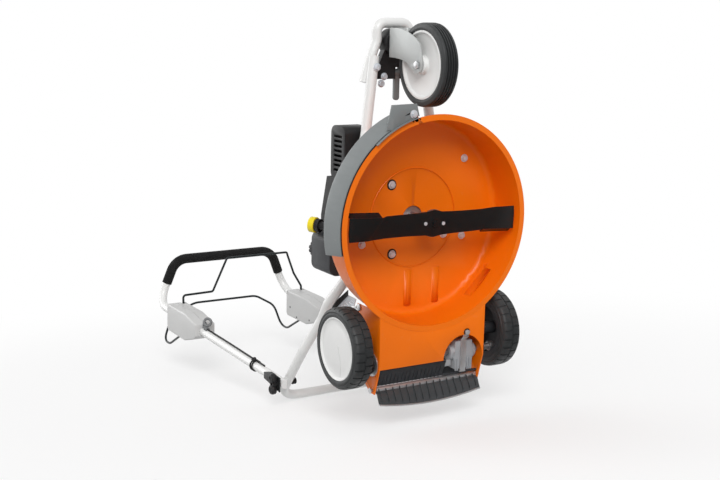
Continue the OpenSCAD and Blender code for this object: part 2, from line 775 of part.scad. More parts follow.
module shroud_body(grow) {
    intersection() {
        translate([(shroud_x0 + shroud_x1) / 2, 0, case_z1 - 20])
            round_box(shroud_x1 - shroud_x0 + 2 * grow, 2 * shroud_y + 2 * grow, 200, 74 + grow);
        translate([-20, 0, shroud_z + grow]) rotate([0, slope_a, 0]) translate([-400, -300, -400])
            cube([800, 600, 400]);
        translate([-400, -300, 0]) cube([800, 600, shroud_z + grow]);
    }
}

starter_x = 0;
starter_r = 82;

module engine_shroud() color(black) difference() {
    union() {
        shroud_body(0);
        translate([starter_x, 0, case_z1]) cylinder(h = shroud_z - case_z1, r = starter_r);
    }
    difference() {
        union() {
            shroud_body(-shroud_t);
            cylinder(h = shroud_z - shroud_t, r = starter_r - shroud_t);
        }
        translate([-300, -300, 0]) cube([600, 600, case_z1 + gap]);
    }
    translate([-300, -300, 0]) cube([600, 600, case_z1]);
    translate([starter_x, 0, 0]) cylinder(h = 500, r = starter_r - 12);
    along_y(gov_x, gov_y, gov_z) cylinder(h = 40, r = 3 + run_fit);
    bar(oil_base, oil_top, oil_r + gap);
    translate([filter_x0 - gap, -300, case_z1 - 1]) cube([200, 300 + filter_y1 + gap, 200]);
}

module starter_cover() color(dark) translate([starter_x, 0, 0]) difference() {
    union() {
        translate([0, 0, shroud_z + gap]) cylinder(h = 8, r = starter_r);
        translate([0, 0, shroud_z + 8]) cylinder(h = 10, r = starter_r - 22);
        translate([0, 0, shroud_z - 12]) ring(starter_r - 12 - gap, starter_r - 18, 14);
    }
    for (a = [0 : 30 : 359]) rotate(a) translate([starter_r - 15, 0, shroud_z - 1])
        translate([-5, -5, 0]) cube([10, 10, 20]);
}

module starter_grip() color(black) translate([-96, 62, shroud_z + gap]) {
    cylinder(h = 12, r = 9);
    translate([0, 0, 19]) rotate([90, 0, 0]) translate([0, 0, -26]) cylinder(h = 52, r = 8);
}

filter_x0 = 84;
filter_x1 = 220;
filter_y0 = -146;
filter_y1 = -78;
filter_z0 = 238;
filter_z1 = 308;

module air_filter_cover() color(black) difference() {
    xz_filter(filter_y0, filter_y1 - filter_y0, 0);
    xz_filter(filter_y0 + 4, filter_y1 - filter_y0, 4);
    for (i = [0 : 7]) translate([filter_x1 - 30 - 12 * i, filter_y0 - 1, filter_z0 + 16]) cube([6, 6, 38]);
}

module xz_filter(y, t, inset) {
    translate([(filter_x0 + filter_x1) / 2, y, (filter_z0 + filter_z1) / 2]) rotate([-90, 0, 0])
        round_box(filter_x1 - filter_x0 - 2 * inset, filter_z1 - filter_z0 - 2 * inset, t, 20 - inset);
}

module carburettor() color(steel) {
    translate([112, -72, case_z1 + 2]) cube([44, 20, 34]);
    translate([134, filter_y1 - 40, case_z1 + 19]) rotate([-90, 0, 0]) cylinder(h = 46, r = 15);
    translate([124, -60, case_z1 + gap]) cylinder(h = 6, r = 11);
}

gov_x = 62;
gov_y = -144;
gov_z = 268;

module governor_lever() color(grey) {
    along_y(gov_x, gov_y, gov_z) cylinder(h = 10, r = 7);
    along_y(gov_x, gov_y, gov_z) cylinder(h = 30, r = 3);
    translate([gov_x, gov_y + 4, gov_z]) rotate([0, -60, 0]) translate([-3.5, 0, 0]) cube([7, 3, 44]);
}

tank_x = -104;
tank_y = -146;
tank_z0 = case_z1 - 2;
tank_z1 = 344;

module fuel_tank() color(dark) difference() {
    translate([tank_x, tank_y, tank_z0]) round_box(104, 64, tank_z1 - tank_z0, 22);
    translate([tank_x, -155.5, tank_z0 + 3]) round_box(98, 39, tank_z1 - tank_z0 - 6, 17);
    shroud_clear();
}

module shroud_clear() {
    translate([(shroud_x0 + shroud_x1) / 2, 0, 0])
        round_box(shroud_x1 - shroud_x0 + 2 * gap, 2 * shroud_y + 2 * gap, 600, 74 + gap);
}

module fuel_cap() color(black) translate([tank_x, tank_y - 8, tank_z1 + gap]) difference() {
    cylinder(h = 16, r = 23);
    for (a = [0 : 30 : 359]) rotate(a) translate([23, 0, -1]) cylinder(h = 20, r = 2.4);
}

oil_base = [-40, -112, 214];
oil_top = [-36, -176, 322];
oil_dir = unit(oil_top - oil_base);
oil_r = 11;

module oil_tube() color(black) difference() {
    union() {
        bent_bar([[-30, -50, 206], oil_base, oil_top], 16, oil_r);
        bar(oil_top - oil_dir * 12, oil_top, 17);
    }
    bent_bar([[-30, -50, 206], oil_base, oil_top + oil_dir * 2], 16, oil_r - 2);
    cylinder(h = 400, r = case_r + gap);
}

module oil_cap() color([0.95, 0.85, 0.05]) {
    bar(oil_top + oil_dir * gap, oil_top + oil_dir * 16, 20);
    bar(oil_top - oil_dir * 20, oil_top + oil_dir * 2, oil_r - 2 - run_fit);
    bar(oil_top - oil_dir * 90, oil_top - oil_dir * 19, 2);
}

module muffler() color(dark) difference() {
    union() {
        translate([30, 109, case_z0 + 6]) round_box(130, 44, 56, 14);
        translate([70, 50 + gap, cyl_z - 8]) cube([24, 46, 16]);
    }
    translate([30, 109, case_z0 + 9]) round_box(124, 38, 50, 11);
    for (i = [0 : 5]) translate([-16 + 16 * i, 125, case_z0 + 24]) cube([6, 20, 26]);
}

module spark_plug() color(black) translate([0, 0, cyl_z]) {
    translate([head_x1 - 13, 0, 0]) rotate([0, 90, 0]) cylinder(h = 24, r = 6.9);
    translate([head_x1 + 11, 0, 0]) rotate([0, 90, 0]) cylinder(h = 26, r = 10);
    bent_bar([[head_x1 + 30, 0, 0], [head_x1 + 30, -56, 6], [150, -66, 22]], 16, 4);
}

// Cutter

module blade_carrier() color(steel) difference() {
    union() {
        translate([0, 0, blade_z + blade_t / 2]) cylinder(h = 5, r = 34);
        translate([0, 0, blade_z + blade_t / 2]) cylinder(h = 46, r = 21);
    }
    translate([0, 0, blade_z + blade_t / 2 + 7]) cylinder(h = 100, r = crank_r + 0.02);
    cylinder(h = 300, r = 5 + run_fit);
    for (y = [-26, 26]) rotate(blade_turn) translate([0, y, 0]) cylinder(h = 300, r = 3 + run_fit);
}

module blade() color(black) rotate(blade_turn) translate([0, 0, blade_z - blade_t / 2]) difference() {
    union() {
        intersection() {
            linear_extrude(blade_t) blade_outline();
            cylinder(h = 30, r = blade_len / 2);
        }
        for (a = [0, 180]) rotate(a) intersection() {
            translate([blade_w / 2 - 5, -blade_len / 2, 0]) rotate([0, -52, 0]) cube([20, 92, blade_t]);
            cylinder(h = 60, r = blade_len / 2);
        }
    }
    translate([0, 0, -1]) cylinder(h = 30, r = 5 + run_fit);
    for (y = [-26, 26]) translate([0, y, -1]) cylinder(h = 30, r = 3 + run_fit);
}

module blade_outline() {
    half = blade_len / 2;
    square([blade_w - 2, blade_len - 190], center = true);
    circle(r = blade_w / 2 + 7);
    for (a = [0, 180]) rotate(a) polygon([[-blade_w / 2 - 4, -half - 5], [blade_w / 2 - 4, -half - 5],
        [blade_w / 2 - 4, 97 - half], [blade_w / 2 - 8, 104 - half],
        [4 - blade_w / 2, 104 - half], [-blade_w / 2 - 4, 84 - half]]);
}

module blade_bolt() color(steel) {
    low = blade_z - blade_t / 2;
    translate([0, 0, low - 2]) cylinder(h = 2, r = 14);
    translate([0, 0, low - 8]) hex_head(8, 6);
    translate([0, 0, low - 2]) cylinder(h = 40, r = 5);
    for (y = [-26, 26]) rotate(blade_turn) translate([0, y, low - 2]) {
        cylinder(h = 12, r = 3);
        cylinder(h = 2, r = 4.5);
    }
}

// Handle

// The legs' clamped sides are cut flat here
flat_y = 199.5;
lower_y = 190;
lower_bend = 56;
lower_half = [sleeve_end + sleeve_dir * gap, sleeve_end + sleeve_dir * 14, [-371, lower_y, 356],
    [-540, lower_y, 491]];
lower_path = concat(lower_half, back(mirrored(lower_half)));

module lower_handle() color(grey) difference() {
    union() {
        bent_bar(lower_path, lower_bend, handle_r);
        both_sides() bar(sleeve_end - sleeve_dir * spigot_len, sleeve_end + sleeve_dir * 6,
            frame_r - tube_wall - run_fit);
    }
    bent_bar(lower_path, lower_bend, handle_r - tube_wall - 2);
    both_sides() translate([-clamp_x - 52, flat_y, clamp_z - 26]) cube([78, 20, 78]);
    along_y(-clamp_x, -400, clamp_z) cylinder(h = 800, r = m8_r + run_fit);
}

bend_z = clamp_z + upper_len;
bend_y = upper_y + 21;
upper_x = -clamp_x + 33;
grip_x = -clamp_x + grip_out;
grip_z = bend_z - 6;
leg_dir = unit([upper_x + clamp_x, bend_y - upper_y, upper_len]);
leg_foot = [-clamp_x, upper_y, clamp_z] - leg_dir * 18;
upper_half = [leg_foot, [upper_x, bend_y, bend_z], [grip_x, grip_y, grip_z]];
upper_path = concat(upper_half, back(mirrored(upper_half)));

module upper_handle() color(white) difference() {
    bent_tube(upper_path, handle_bend, handle_r, tube_wall);
    both_sides() translate([-clamp_x - 40, flat_y + gap - 30, clamp_z - 60]) cube([80, 30, 122]);
    along_y(-clamp_x, -400, clamp_z) cylinder(h = 800, r = m8_r + run_fit);
}

module grip() color(black) {
    half = [upper_half[2] + unit(upper_half[1] - upper_half[2]) * 82, upper_half[2]];
    path = concat(half, back(mirrored(half)));
    difference() {
        bent_bar(path, handle_bend, grip_r);
        bent_bar(upper_path, handle_bend, handle_r + 0.05);
    }
}

box_x1 = upper_x + 25;
box_x0 = box_x1 - box_deep;
box_z1 = bend_z - 106;
box_z0 = box_z1 - box_len;
box_y0 = 180;

stop_pivot = [box_x1 - 7, box_z1 - 11];
drive_pivot = [box_x0 + 9, box_z1 - 76];
wire_room = 2.5;
box_t = 3;
box_y1 = box_y0 + box_wide;
stop_y = 192;
stop_far_y = 230;
drive_y = 213;

module pivot_bore(at) {
    along_y(at[0], 0, at[1]) cylinder(h = box_y1 - 0.5, r = bail_r + run_fit);
}

module wire_slot(x, y, z, long) {
    translate([x, y - bail_r - wire_room, z]) cube([20, 2 * (bail_r + wire_room), long]);
}

module control_box(side) color(white) scale([1, side, 1]) difference() {
    xz_plate(box_y0, box_wide) polygon([[box_x1, box_z1], [box_x0 + 8, box_z1],
        [box_x0, box_z1 - 8], [box_x0, box_z0 + 90], [box_x0 + 22, box_z0 + 16],
        [upper_x - 26, box_z0], [upper_x + 10, box_z0], [box_x1 - 6, box_z0 + 50],
        [box_x1, box_z0 + 90]]);
    xz_plate(box_y0 + box_t, box_wide - 2 * box_t) polygon([[box_x1 - 4, box_z1 - 4],
        [box_x0 + 9, box_z1 - 4], [box_x0 + 4, box_z1 - 10], [box_x0 + 4, box_z0 + 91],
        [box_x0 + 25, box_z0 + 19], [upper_x - 24, box_z0 + 4], [upper_x + 8, box_z0 + 4],
        [box_x1 - 10, box_z0 + 52], [box_x1 - 4, box_z0 + 91]]);
    bar([-clamp_x, upper_y, clamp_z], [upper_x, bend_y, bend_z], handle_r + gap, 100);
    pivot_bore(stop_pivot);
    pivot_bore(drive_pivot);
    wire_slot(box_x1 - 14, side > 0 ? stop_far_y : stop_y, box_z1 - 24, 40);
    wire_slot(box_x0 - 5, drive_y, drive_pivot[1] - 12, 110);
}

module control_box_left() control_box(1);
module control_box_right() control_box(-1);

module stop_bail() color(black) {
    px = stop_pivot[0];
    pz = stop_pivot[1];
    bent_bar([[px, box_y1 - 1, pz], [px, stop_far_y, pz], [px + 18, stop_far_y, pz],
        [px + 62, 206, pz + 8], [px + 120, 186, pz + 12], [px + 137, 176, pz + 2], [px + 137, -40, pz + 2],
        [px + 32, -90, pz + 2], [px + 30, -stop_y, pz + 1], [px, -stop_y, pz], [px, -box_y0 - 0.5, pz]],
        6, bail_r);
}

module drive_bail() color(black) {
    px = drive_pivot[0];
    pz = drive_pivot[1];
    half = [[px, box_y0 + 0.5, pz], [px, drive_y, pz], [px - 73, drive_y, pz + 131],
        [px - 70, drive_y, pz + 176], [px, 188, pz + 180], [px + 44, 112, pz + 167]];
    bent_bar(concat(half, back(mirrored(half))), 6, bail_r);
}

bracket_y = upper_y + handle_r + gap + 2;
bracket_t = 3;

module clamp_brackets() color(dark) both_sides() difference() {
    xz_plate(bracket_y, bracket_t) polygon([[-clamp_x - 20, clamp_z - 20], [-clamp_x + 20, clamp_z - 20],
        [-clamp_x + 24, clamp_z + 30], [-clamp_x + 12, clamp_z + 74], [-clamp_x - 6, clamp_z + 74]]);
    along_y(-clamp_x, 0, clamp_z) cylinder(h = 400, r = m8_r + run_fit);
}

module clamp_knob(side) color(black) scale([1, side, 1]) {
    along_y(-clamp_x, lower_y - handle_r - 12, clamp_z) {
        cylinder(h = bracket_y + bracket_t - lower_y + handle_r + 14, r = m8_r);
        cylinder(h = 12 - gap, r = 9);
    }
    along_y(-clamp_x, bracket_y + bracket_t + gap, clamp_z) {
        cylinder(h = 16, r = 13);
        translate([0, 0, 6]) round_box(62, 16, 14, 7);
    }
}

module clamp_knob_left() clamp_knob(1);
module clamp_knob_right() clamp_knob(-1);

cable_r = 2.5;

// A place beside the right leg, at a distance along it from the clamp
function beside_leg(d, off) = mirrored([[-clamp_x, upper_y, clamp_z] + leg_dir * d + [off, 0, 0]])[0];

module control_cables() color(black) {
    off = handle_r + cable_r + gap + 0.1;
    bar(beside_leg(100, off), beside_leg(upper_len - 106 - box_len - 6, off), cable_r);
    difference() {
        bar(beside_leg(146, 0), beside_leg(162, 0), handle_r + 2 * cable_r + 2.5);
        bar(beside_leg(0, 0), beside_leg(400, 0), handle_r + 0.05);
    }
}

// Rear flap

tip_x = -440;
tip_z = 43;

module rear_flap() color(dark) difference() {
    union() {
        along_y(rod_x, -cheek_y + 1, rod_z) cylinder(h = 2 * cheek_y - 2, r = rod_r + 4);
        xz_plate(-cheek_y + 1, 2 * cheek_y - 2) polygon([[rod_x - 3, rod_z + 4], [tip_x - 2, tip_z + 2],
            [tip_x - 8, tip_z - 1], [tip_x - 6, tip_z - 4], [tip_x + 2, tip_z - 1],
            [rod_x, rod_z]]);
        for (y = [-140 : 20 : 140]) xz_plate(y - 1, 2)
            polygon([[rod_x, rod_z], [tip_x + 2, tip_z], [tip_x + 12, tip_z + 4]]);
    }
    along_y(rod_x, -300, rod_z) cylinder(h = 600, r = rod_r + run_fit);
}

module flap_rod() color(steel) along_y(rod_x, -plate_y - 5, rod_z) {
    cylinder(h = 2 * plate_y + 10, r = rod_r);
    translate([0, 0, -2]) cylinder(h = 2, r = rod_r + 3);
    translate([0, 0, 2 * plate_y + 10]) cylinder(h = 2, r = rod_r + 3);
}

deck_housing();
rear_panel();
deck_skirt();
skirt_seal();
hex_bolts();
frame_tubes();
front_yoke();
swivel_housing();
swivel_fork();
lock_lever();
front_wheel();
front_tyre();
front_axle();
drive_shaft();
height_arm_left();
height_arm_right();
height_plates();
rear_wheel_left();
rear_wheel_right();
rear_tyre_left();
rear_tyre_right();
gearbox_housing();
gearbox_strap();
gearbox_pulley();
drive_belt();
engine_pulley();
crankshaft();
flywheel();
crankcase();
cylinder_bored();  // cylinder
cylinder_head();
piston();
engine_shroud();
starter_cover();
starter_grip();
air_filter_cover();
carburettor();
governor_lever();
fuel_tank();
fuel_cap();
oil_tube();
oil_cap();
muffler();
spark_plug();
blade_carrier();
blade();
blade_bolt();
lower_handle();
upper_handle();
grip();
control_box_left();
control_box_right();
stop_bail();
drive_bail();
clamp_knob_left();
clamp_knob_right();
clamp_brackets();
control_cables();
rear_flap();
flap_rod();
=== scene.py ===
# %% [markdown]
# # A petrol lawn mower on three wheels
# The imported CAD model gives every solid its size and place, and this script gives the solids
# their looks. The mower stands upright in the model's frame, and the photograph shows it tipped
# on its tail, so here it is the camera that is tipped, and the mower never moves.

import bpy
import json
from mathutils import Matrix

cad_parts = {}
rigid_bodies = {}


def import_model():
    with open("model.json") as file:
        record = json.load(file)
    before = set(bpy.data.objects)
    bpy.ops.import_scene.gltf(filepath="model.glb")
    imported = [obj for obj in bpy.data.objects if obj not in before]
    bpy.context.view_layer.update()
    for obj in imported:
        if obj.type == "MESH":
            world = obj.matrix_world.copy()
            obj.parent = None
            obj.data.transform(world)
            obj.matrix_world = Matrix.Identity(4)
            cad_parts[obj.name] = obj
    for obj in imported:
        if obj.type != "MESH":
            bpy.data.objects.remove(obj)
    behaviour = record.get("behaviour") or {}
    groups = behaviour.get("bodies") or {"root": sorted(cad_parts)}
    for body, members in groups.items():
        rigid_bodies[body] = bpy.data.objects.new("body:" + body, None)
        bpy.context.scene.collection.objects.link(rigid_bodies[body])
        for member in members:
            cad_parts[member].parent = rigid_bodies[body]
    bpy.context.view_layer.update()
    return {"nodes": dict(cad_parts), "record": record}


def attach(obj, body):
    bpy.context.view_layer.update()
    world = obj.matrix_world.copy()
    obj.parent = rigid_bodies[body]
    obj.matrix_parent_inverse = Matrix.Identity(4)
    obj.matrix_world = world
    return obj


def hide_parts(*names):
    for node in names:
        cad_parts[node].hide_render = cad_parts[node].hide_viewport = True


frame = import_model()

# %% [markdown]
# The shop drawings are in millimetres and Blender works in metres, so one helper turns a place in
# millimetres into a vector. Operators act on whatever is selected, so every step starts by
# selecting only the object that it works on.

# %% Small helpers
import json
import math
import bpy
from mathutils import Matrix, Vector


def mm(*numbers):
    return Vector(n / 1000 for n in numbers)


def clear():
    if bpy.context.object and bpy.context.object.mode != "OBJECT":
        bpy.ops.object.mode_set(mode="OBJECT")
    bpy.ops.object.select_all(action="DESELECT")


def only(piece):
    clear()
    piece.select_set(True)
    bpy.context.view_layer.objects.active = piece
    return piece


def settle(piece):
    only(piece)
    bpy.ops.object.transform_apply(location=True, rotation=True, scale=True)
    return piece


def smooth(piece, degrees=35):
    only(piece)
    bpy.ops.object.shade_smooth_by_angle(angle=math.radians(degrees))
    return piece


def modify(piece, kind, **settings):
    only(piece)
    bpy.ops.object.modifier_add(type=kind)
    modifier = piece.modifiers[-1]
    for name, value in settings.items():
        setattr(modifier, name, value)
    bpy.ops.object.modifier_apply(modifier=modifier.name)
    return piece


def eased(piece, width, degrees, segments=2, clamp=True):
    return modify(piece, "BEVEL", width=width, segments=segments, limit_method="ANGLE",
                  angle_limit=math.radians(degrees), use_clamp_overlap=clamp)


def torus(radius, wire_radius, sides, wire_sides, place, turn=(0, 0, 0)):
    clear()
    bpy.ops.mesh.primitive_torus_add(major_radius=radius, minor_radius=wire_radius, major_segments=sides,
                                     minor_segments=wire_sides, location=place, rotation=turn)
    return settle(bpy.context.object)


print("helpers are ready")

# %% [markdown]
# ## Finishes
# Paint, cast metal and moulded plastic are never one flat colour. Three shader groups carry what
# the finishes share: a soft mottling, a fine grain for the bump, and sparse specks of dust. Each
# group only puts out a mask or a height, and each material mixes it in with its own values.

# %% Nodes and groups that the finishes share
def maths(tree, operation, first, second):
    node = tree.nodes.new("ShaderNodeMath")
    node.operation = operation
    tree.links.new(first, node.inputs[0])
    tree.links.new(second, node.inputs[1])
    return node.outputs["Value"]


def ramp(tree, value, low, high, start=0.0, stop=1.0):
    node = tree.nodes.new("ShaderNodeMapRange")
    for label, number in (("From Min", low), ("From Max", high), ("To Min", start), ("To Max", stop)):
        node.inputs[label].default_value = number
    tree.links.new(value, node.inputs["Value"])
    return node


def new_group(name, inputs):
    group = bpy.data.node_groups.new(name, "ShaderNodeTree")
    for label, value in inputs.items():
        socket = group.interface.new_socket(label, in_out="INPUT", socket_type="NodeSocketFloat")
        socket.default_value = value
    return group, group.nodes.new("NodeGroupInput"), group.nodes.new("NodeGroupOutput")


def noise_mask(name, low, high):
    group, given, result = new_group(name, {"Scale": 10, "Detail": 4})
    group.interface.new_socket("Mask", in_out="OUTPUT", socket_type="NodeSocketFloat")
    place = group.nodes.new("ShaderNodeTexCoord")
    noise = group.nodes.new("ShaderNodeTexNoise")
    group.links.new(place.outputs["Object"], noise.inputs["Vector"])
    group.links.new(given.outputs["Scale"], noise.inputs["Scale"])
    group.links.new(given.outputs["Detail"], noise.inputs["Detail"])
    mask = ramp(group, noise.outputs["Fac"], low, high)
    group.links.new(mask.outputs["Result"], result.inputs["Mask"])
    return group


mottling = noise_mask("mottling", 0.35, 0.65)
dust = noise_mask("dust specks", 0.63, 0.72)


def grain_group():
    group, given, result = new_group("fine grain", {"Scale": 900, "Softness": 0.5})
    group.interface.new_socket("Height", in_out="OUTPUT", socket_type="NodeSocketFloat")
    place = group.nodes.new("ShaderNodeTexCoord")
    noise = group.nodes.new("ShaderNodeTexNoise")
    cells = group.nodes.new("ShaderNodeTexVoronoi")
    blend = group.nodes.new("ShaderNodeMix")
    noise.inputs["Detail"].default_value = 2
    for texture in (noise, cells):
        group.links.new(place.outputs["Object"], texture.inputs["Vector"])
        group.links.new(given.outputs["Scale"], texture.inputs["Scale"])
    group.links.new(given.outputs["Softness"], blend.inputs["Factor"])
    group.links.new(cells.outputs["Distance"], blend.inputs["A"])
    group.links.new(noise.outputs["Fac"], blend.inputs["B"])
    group.links.new(blend.outputs["Result"], result.inputs["Height"])
    return group


grain = grain_group()
print("groups:", ", ".join(group.name for group in bpy.data.node_groups))

# %% [markdown]
# A finish is the Principled shader with a base colour that the mottling darkens a little, a
# roughness that drifts with it, specks of dust that dull it, and the grain as a bump. The values
# are what differs between gloss paint, zinc, cast aluminium and rubber.

# %% One recipe for every finish
def finish(name, colour, roughness, metallic=0.0, coat=0.0, patch=12, shade=0.88, drift=0.08,
           dusty=0.10, grain_scale=900, grain_soft=0.5, bump=0.06, depth=0.0004, specular=0.5):
    material = bpy.data.materials.new(name)
    material.use_nodes = True
    nodes, links = material.node_tree.nodes, material.node_tree.links
    shader = nodes["Principled BSDF"]
    shader.inputs["Metallic"].default_value = metallic
    shader.inputs["Coat Weight"].default_value = coat
    shader.inputs["Specular IOR Level"].default_value = specular
    shader.inputs["Coat Roughness"].default_value = 0.12

    def group(tree, scale, second):
        node = nodes.new("ShaderNodeGroup")
        node.node_tree = tree
        node.inputs[0].default_value = scale
        node.inputs[1].default_value = second
        return node

    spots = group(mottling, patch, 5)
    specks = group(dust, patch * 16, 6)
    fine = group(grain, grain_scale, grain_soft)
    tint = nodes.new("ShaderNodeMix")
    tint.data_type = "RGBA"
    tint.inputs["A"].default_value = (*[c * shade for c in colour], 1)
    tint.inputs["B"].default_value = (*colour, 1)
    dulled = nodes.new("ShaderNodeMix")
    dulled.data_type = "RGBA"
    dulled.inputs["B"].default_value = (0.42, 0.39, 0.34, 1)
    little = nodes.new("ShaderNodeMath")
    little.operation = "MULTIPLY"
    little.inputs[1].default_value = dusty
    rough = ramp(material.node_tree, spots.outputs["Mask"], 0, 1, roughness + drift, roughness)
    bumps = nodes.new("ShaderNodeBump")
    bumps.inputs["Strength"].default_value = bump
    bumps.inputs["Distance"].default_value = depth
    links.new(spots.outputs["Mask"], tint.inputs["Factor"])
    links.new(tint.outputs["Result"], dulled.inputs["A"])
    links.new(specks.outputs["Mask"], little.inputs[0])
    links.new(little.outputs["Value"], dulled.inputs["Factor"])
    links.new(dulled.outputs["Result"], shader.inputs["Base Color"])
    links.new(rough.outputs["Result"], shader.inputs["Roughness"])
    links.new(fine.outputs["Height"], bumps.inputs["Height"])
    links.new(bumps.outputs["Normal"], shader.inputs["Normal"])
    return material


# %% The mower's finishes
FINISHES = {
    "orange_paint": finish("orange gloss paint", (0.86, 0.165, 0.001), 0.33, coat=0.08, patch=5,
                           shade=0.93, dusty=0.03, grain_scale=420, bump=0.05, specular=0.3),
    "grey_paint": finish("grey satin paint", (0.190, 0.205, 0.207), 0.42, coat=0.1, patch=9,
                         shade=0.92, dusty=0.06, grain_scale=500),
    "white_paint": finish("white gloss paint", (0.76, 0.76, 0.75), 0.30, coat=0.3, patch=8,
                          shade=0.95, dusty=0.03, grain_scale=420, bump=0.04),
    "dark_paint": finish("dark satin paint", (0.014, 0.015, 0.016), 0.38, dusty=0.04, specular=0.35),
    "black_coat": finish("black dipped coat", (0.006, 0.010, 0.011), 0.30, dusty=0.005, bump=0.06,
                         specular=0.3),
    "zinc": finish("zinc plated steel", (0.60, 0.61, 0.62), 0.32, metallic=0.85, patch=60,
                   shade=0.88, drift=0.10, dusty=0.03, grain_scale=700, bump=0.08),
    "steel": finish("ground steel", (0.42, 0.42, 0.43), 0.36, metallic=0.95, patch=40, shade=0.7,
                    drift=0.12, grain_scale=1200, bump=0.1),
    "alloy": finish("cast aluminium", (0.40, 0.42, 0.44), 0.50, metallic=0.35, patch=45, shade=0.9,
                    drift=0.12, grain_scale=650, grain_soft=0.3, bump=0.35),
    "cast_iron": finish("heat browned iron", (0.060, 0.050, 0.043), 0.6, metallic=0.6, patch=30,
                        shade=0.6, grain_scale=600, bump=0.3),
    "rubber": finish("black rubber", (0.012, 0.012, 0.012), 0.62, patch=30, dusty=0.06, bump=0.15,
                     specular=0.3),
    "tyre": finish("tyre rubber", (0.032, 0.034, 0.035), 0.48, patch=20, shade=0.85, dusty=0.04,
                   grain_scale=800, bump=0.2, specular=0.35),
    "white_plastic": finish("white moulded plastic", (0.74, 0.74, 0.73), 0.34, coat=0.1, patch=7,
                            shade=0.95, dusty=0.03, grain_scale=1200, bump=0.05),
    "black_plastic": finish("black moulded plastic", (0.010, 0.010, 0.011), 0.46, patch=18,
                            dusty=0.04, grain_scale=1100, bump=0.22, specular=0.3),
    "dark_plastic": finish("dark grey plastic", (0.030, 0.032, 0.036), 0.50, patch=18, dusty=0.06,
                           grain_scale=1000, bump=0.22, specular=0.35),
    "yellow_plastic": finish("yellow moulded plastic", (0.80, 0.66, 0.010), 0.36, patch=20,
                             shade=0.9, dusty=0.03),
    "foam": finish("black foam grip", (0.008, 0.008, 0.008), 0.78, patch=40, dusty=0.03,
                   grain_scale=1500, grain_soft=0.2, bump=0.5, depth=0.0006, specular=0.2),
}
# Finishes of single pieces, whose shade differs from their slot's: the fork, the boxes, the heads of
# the bolts, the cable outlet and the flap
FORK_PLATE = finish("pale satin plate", (0.47, 0.485, 0.48), 0.46, metallic=0.25, patch=10, shade=0.95,
                    drift=0.05, dusty=0.02, grain_scale=600, bump=0.06)
BOX_PLASTIC = finish("pale grey plastic", (0.55, 0.55, 0.545), 0.38, coat=0.05, patch=7, shade=0.96,
                     dusty=0.02, grain_scale=1200, bump=0.05)
BRIGHT_HEAD = finish("bright plated head", (0.66, 0.69, 0.73), 0.30, metallic=0.35, patch=60, shade=0.9,
                     drift=0.05, dusty=0.0, grain_scale=700, bump=0.05)
GREY_PLASTIC = finish("mid grey plastic", (0.15, 0.155, 0.16), 0.34, patch=9, shade=0.9, dusty=0.04,
                      grain_scale=1000, bump=0.1)
FLAP_PLASTIC = finish("dark flap plastic", (0.050, 0.053, 0.056), 0.36, patch=9, shade=0.9, dusty=0.04,
                      grain_scale=1000, bump=0.1)
print(len(FINISHES), "finishes")

# %% [markdown]
# ## Pieces that keep their CAD shape
# The CAD mesh is loose triangles with hard facets. A copy is merged, its flat areas are joined
# again, and its round faces are shaded smooth. Pressed and moulded pieces also get a narrow bevel,
# because a real edge is never quite sharp and its highlight shows the shape.

# %% Dress a copy of a CAD piece
slot_of = {row["node"]: row["material_slot"] for row in frame["record"]["subparts"]}
slot_of["front_axle"] = "zinc"
body_of = {node: body for body, nodes in frame["record"]["behaviour"]["bodies"].items() for node in nodes}


def register(piece, slot, body, replaces=(), degrees=35):
    smooth(piece, degrees)
    piece.data.materials.clear()
    piece.data.materials.append(FINISHES[slot])
    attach(piece, body)
    if replaces:
        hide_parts(*replaces)
    return piece


# The triangles of these wide curved sheets shade more evenly than their joined faces
AS_MESHED = ("deck_housing", "rear_panel")


def dressed(node, bevel=0.0, degrees=35):
    only(frame["nodes"][node])
    bpy.ops.object.duplicate()
    copy = bpy.context.object
    copy.parent = None
    for key in list(copy.keys()):
        del copy[key]
    copy.name = copy.data.name = node + "_dressed"
    bpy.ops.object.mode_set(mode="EDIT")
    bpy.ops.mesh.select_all(action="SELECT")
    bpy.ops.mesh.remove_doubles(threshold=0.00001)
    if node not in AS_MESHED:
        bpy.ops.mesh.dissolve_limited(angle_limit=math.radians(0.4))
    bpy.ops.object.mode_set(mode="OBJECT")
    if bevel:
        eased(copy, bevel, 40, clamp=False)
    return register(copy, slot_of[node], body_of[node], [node], degrees)


# %% Which pieces keep their shape, and how wide their edges are, in millimetres
EDGES = {
    "deck_housing": 0.0, "rear_panel": 0.5, "deck_skirt": 0.5, "skirt_seal": 0.4, "hex_bolts": 0.3,
    "swivel_housing": 1.2,
    "lock_lever": 0.8, "front_axle": 0.4, "drive_shaft": 0.4, "height_arm_left": 0.5,
    "height_arm_right": 0.5, "height_plates": 0.3, "gearbox_strap": 0.4, "gearbox_pulley": 0.4,
    "drive_belt": 0.6, "engine_pulley": 0.4, "crankshaft": 0.4, "flywheel": 0.3, "crankcase": 0.0,
    "cylinder": 0.0, "cylinder_head": 0.0, "piston": 0.0, "carburettor": 0.5,
    "governor_lever": 0.3, "oil_tube": 0.0, "muffler": 1.0, "spark_plug": 0.4,
    "blade_carrier": 0.4, "blade_bolt": 0.3,
    "clamp_brackets": 0.5, "flap_rod": 0.5,
    "engine_shroud": 0.0, "starter_cover": 1.0, "starter_grip": 1.5, "air_filter_cover": 1.5,
    "fuel_tank": 1.5, "fuel_cap": 0.8, "oil_cap": 0.8,
    "gearbox_housing": 1.5,
}
for node, width in EDGES.items():
    dressed(node, width / 1000)
for node in ("hex_bolts", "blade_bolt"):
    bpy.data.objects[node + "_dressed"].data.materials[0] = BRIGHT_HEAD
BOLT_CENTRE_R = 0.0185
blade_bolt = bpy.data.objects["blade_bolt_dressed"].data
blade_bolt.materials.append(FINISHES["black_coat"])
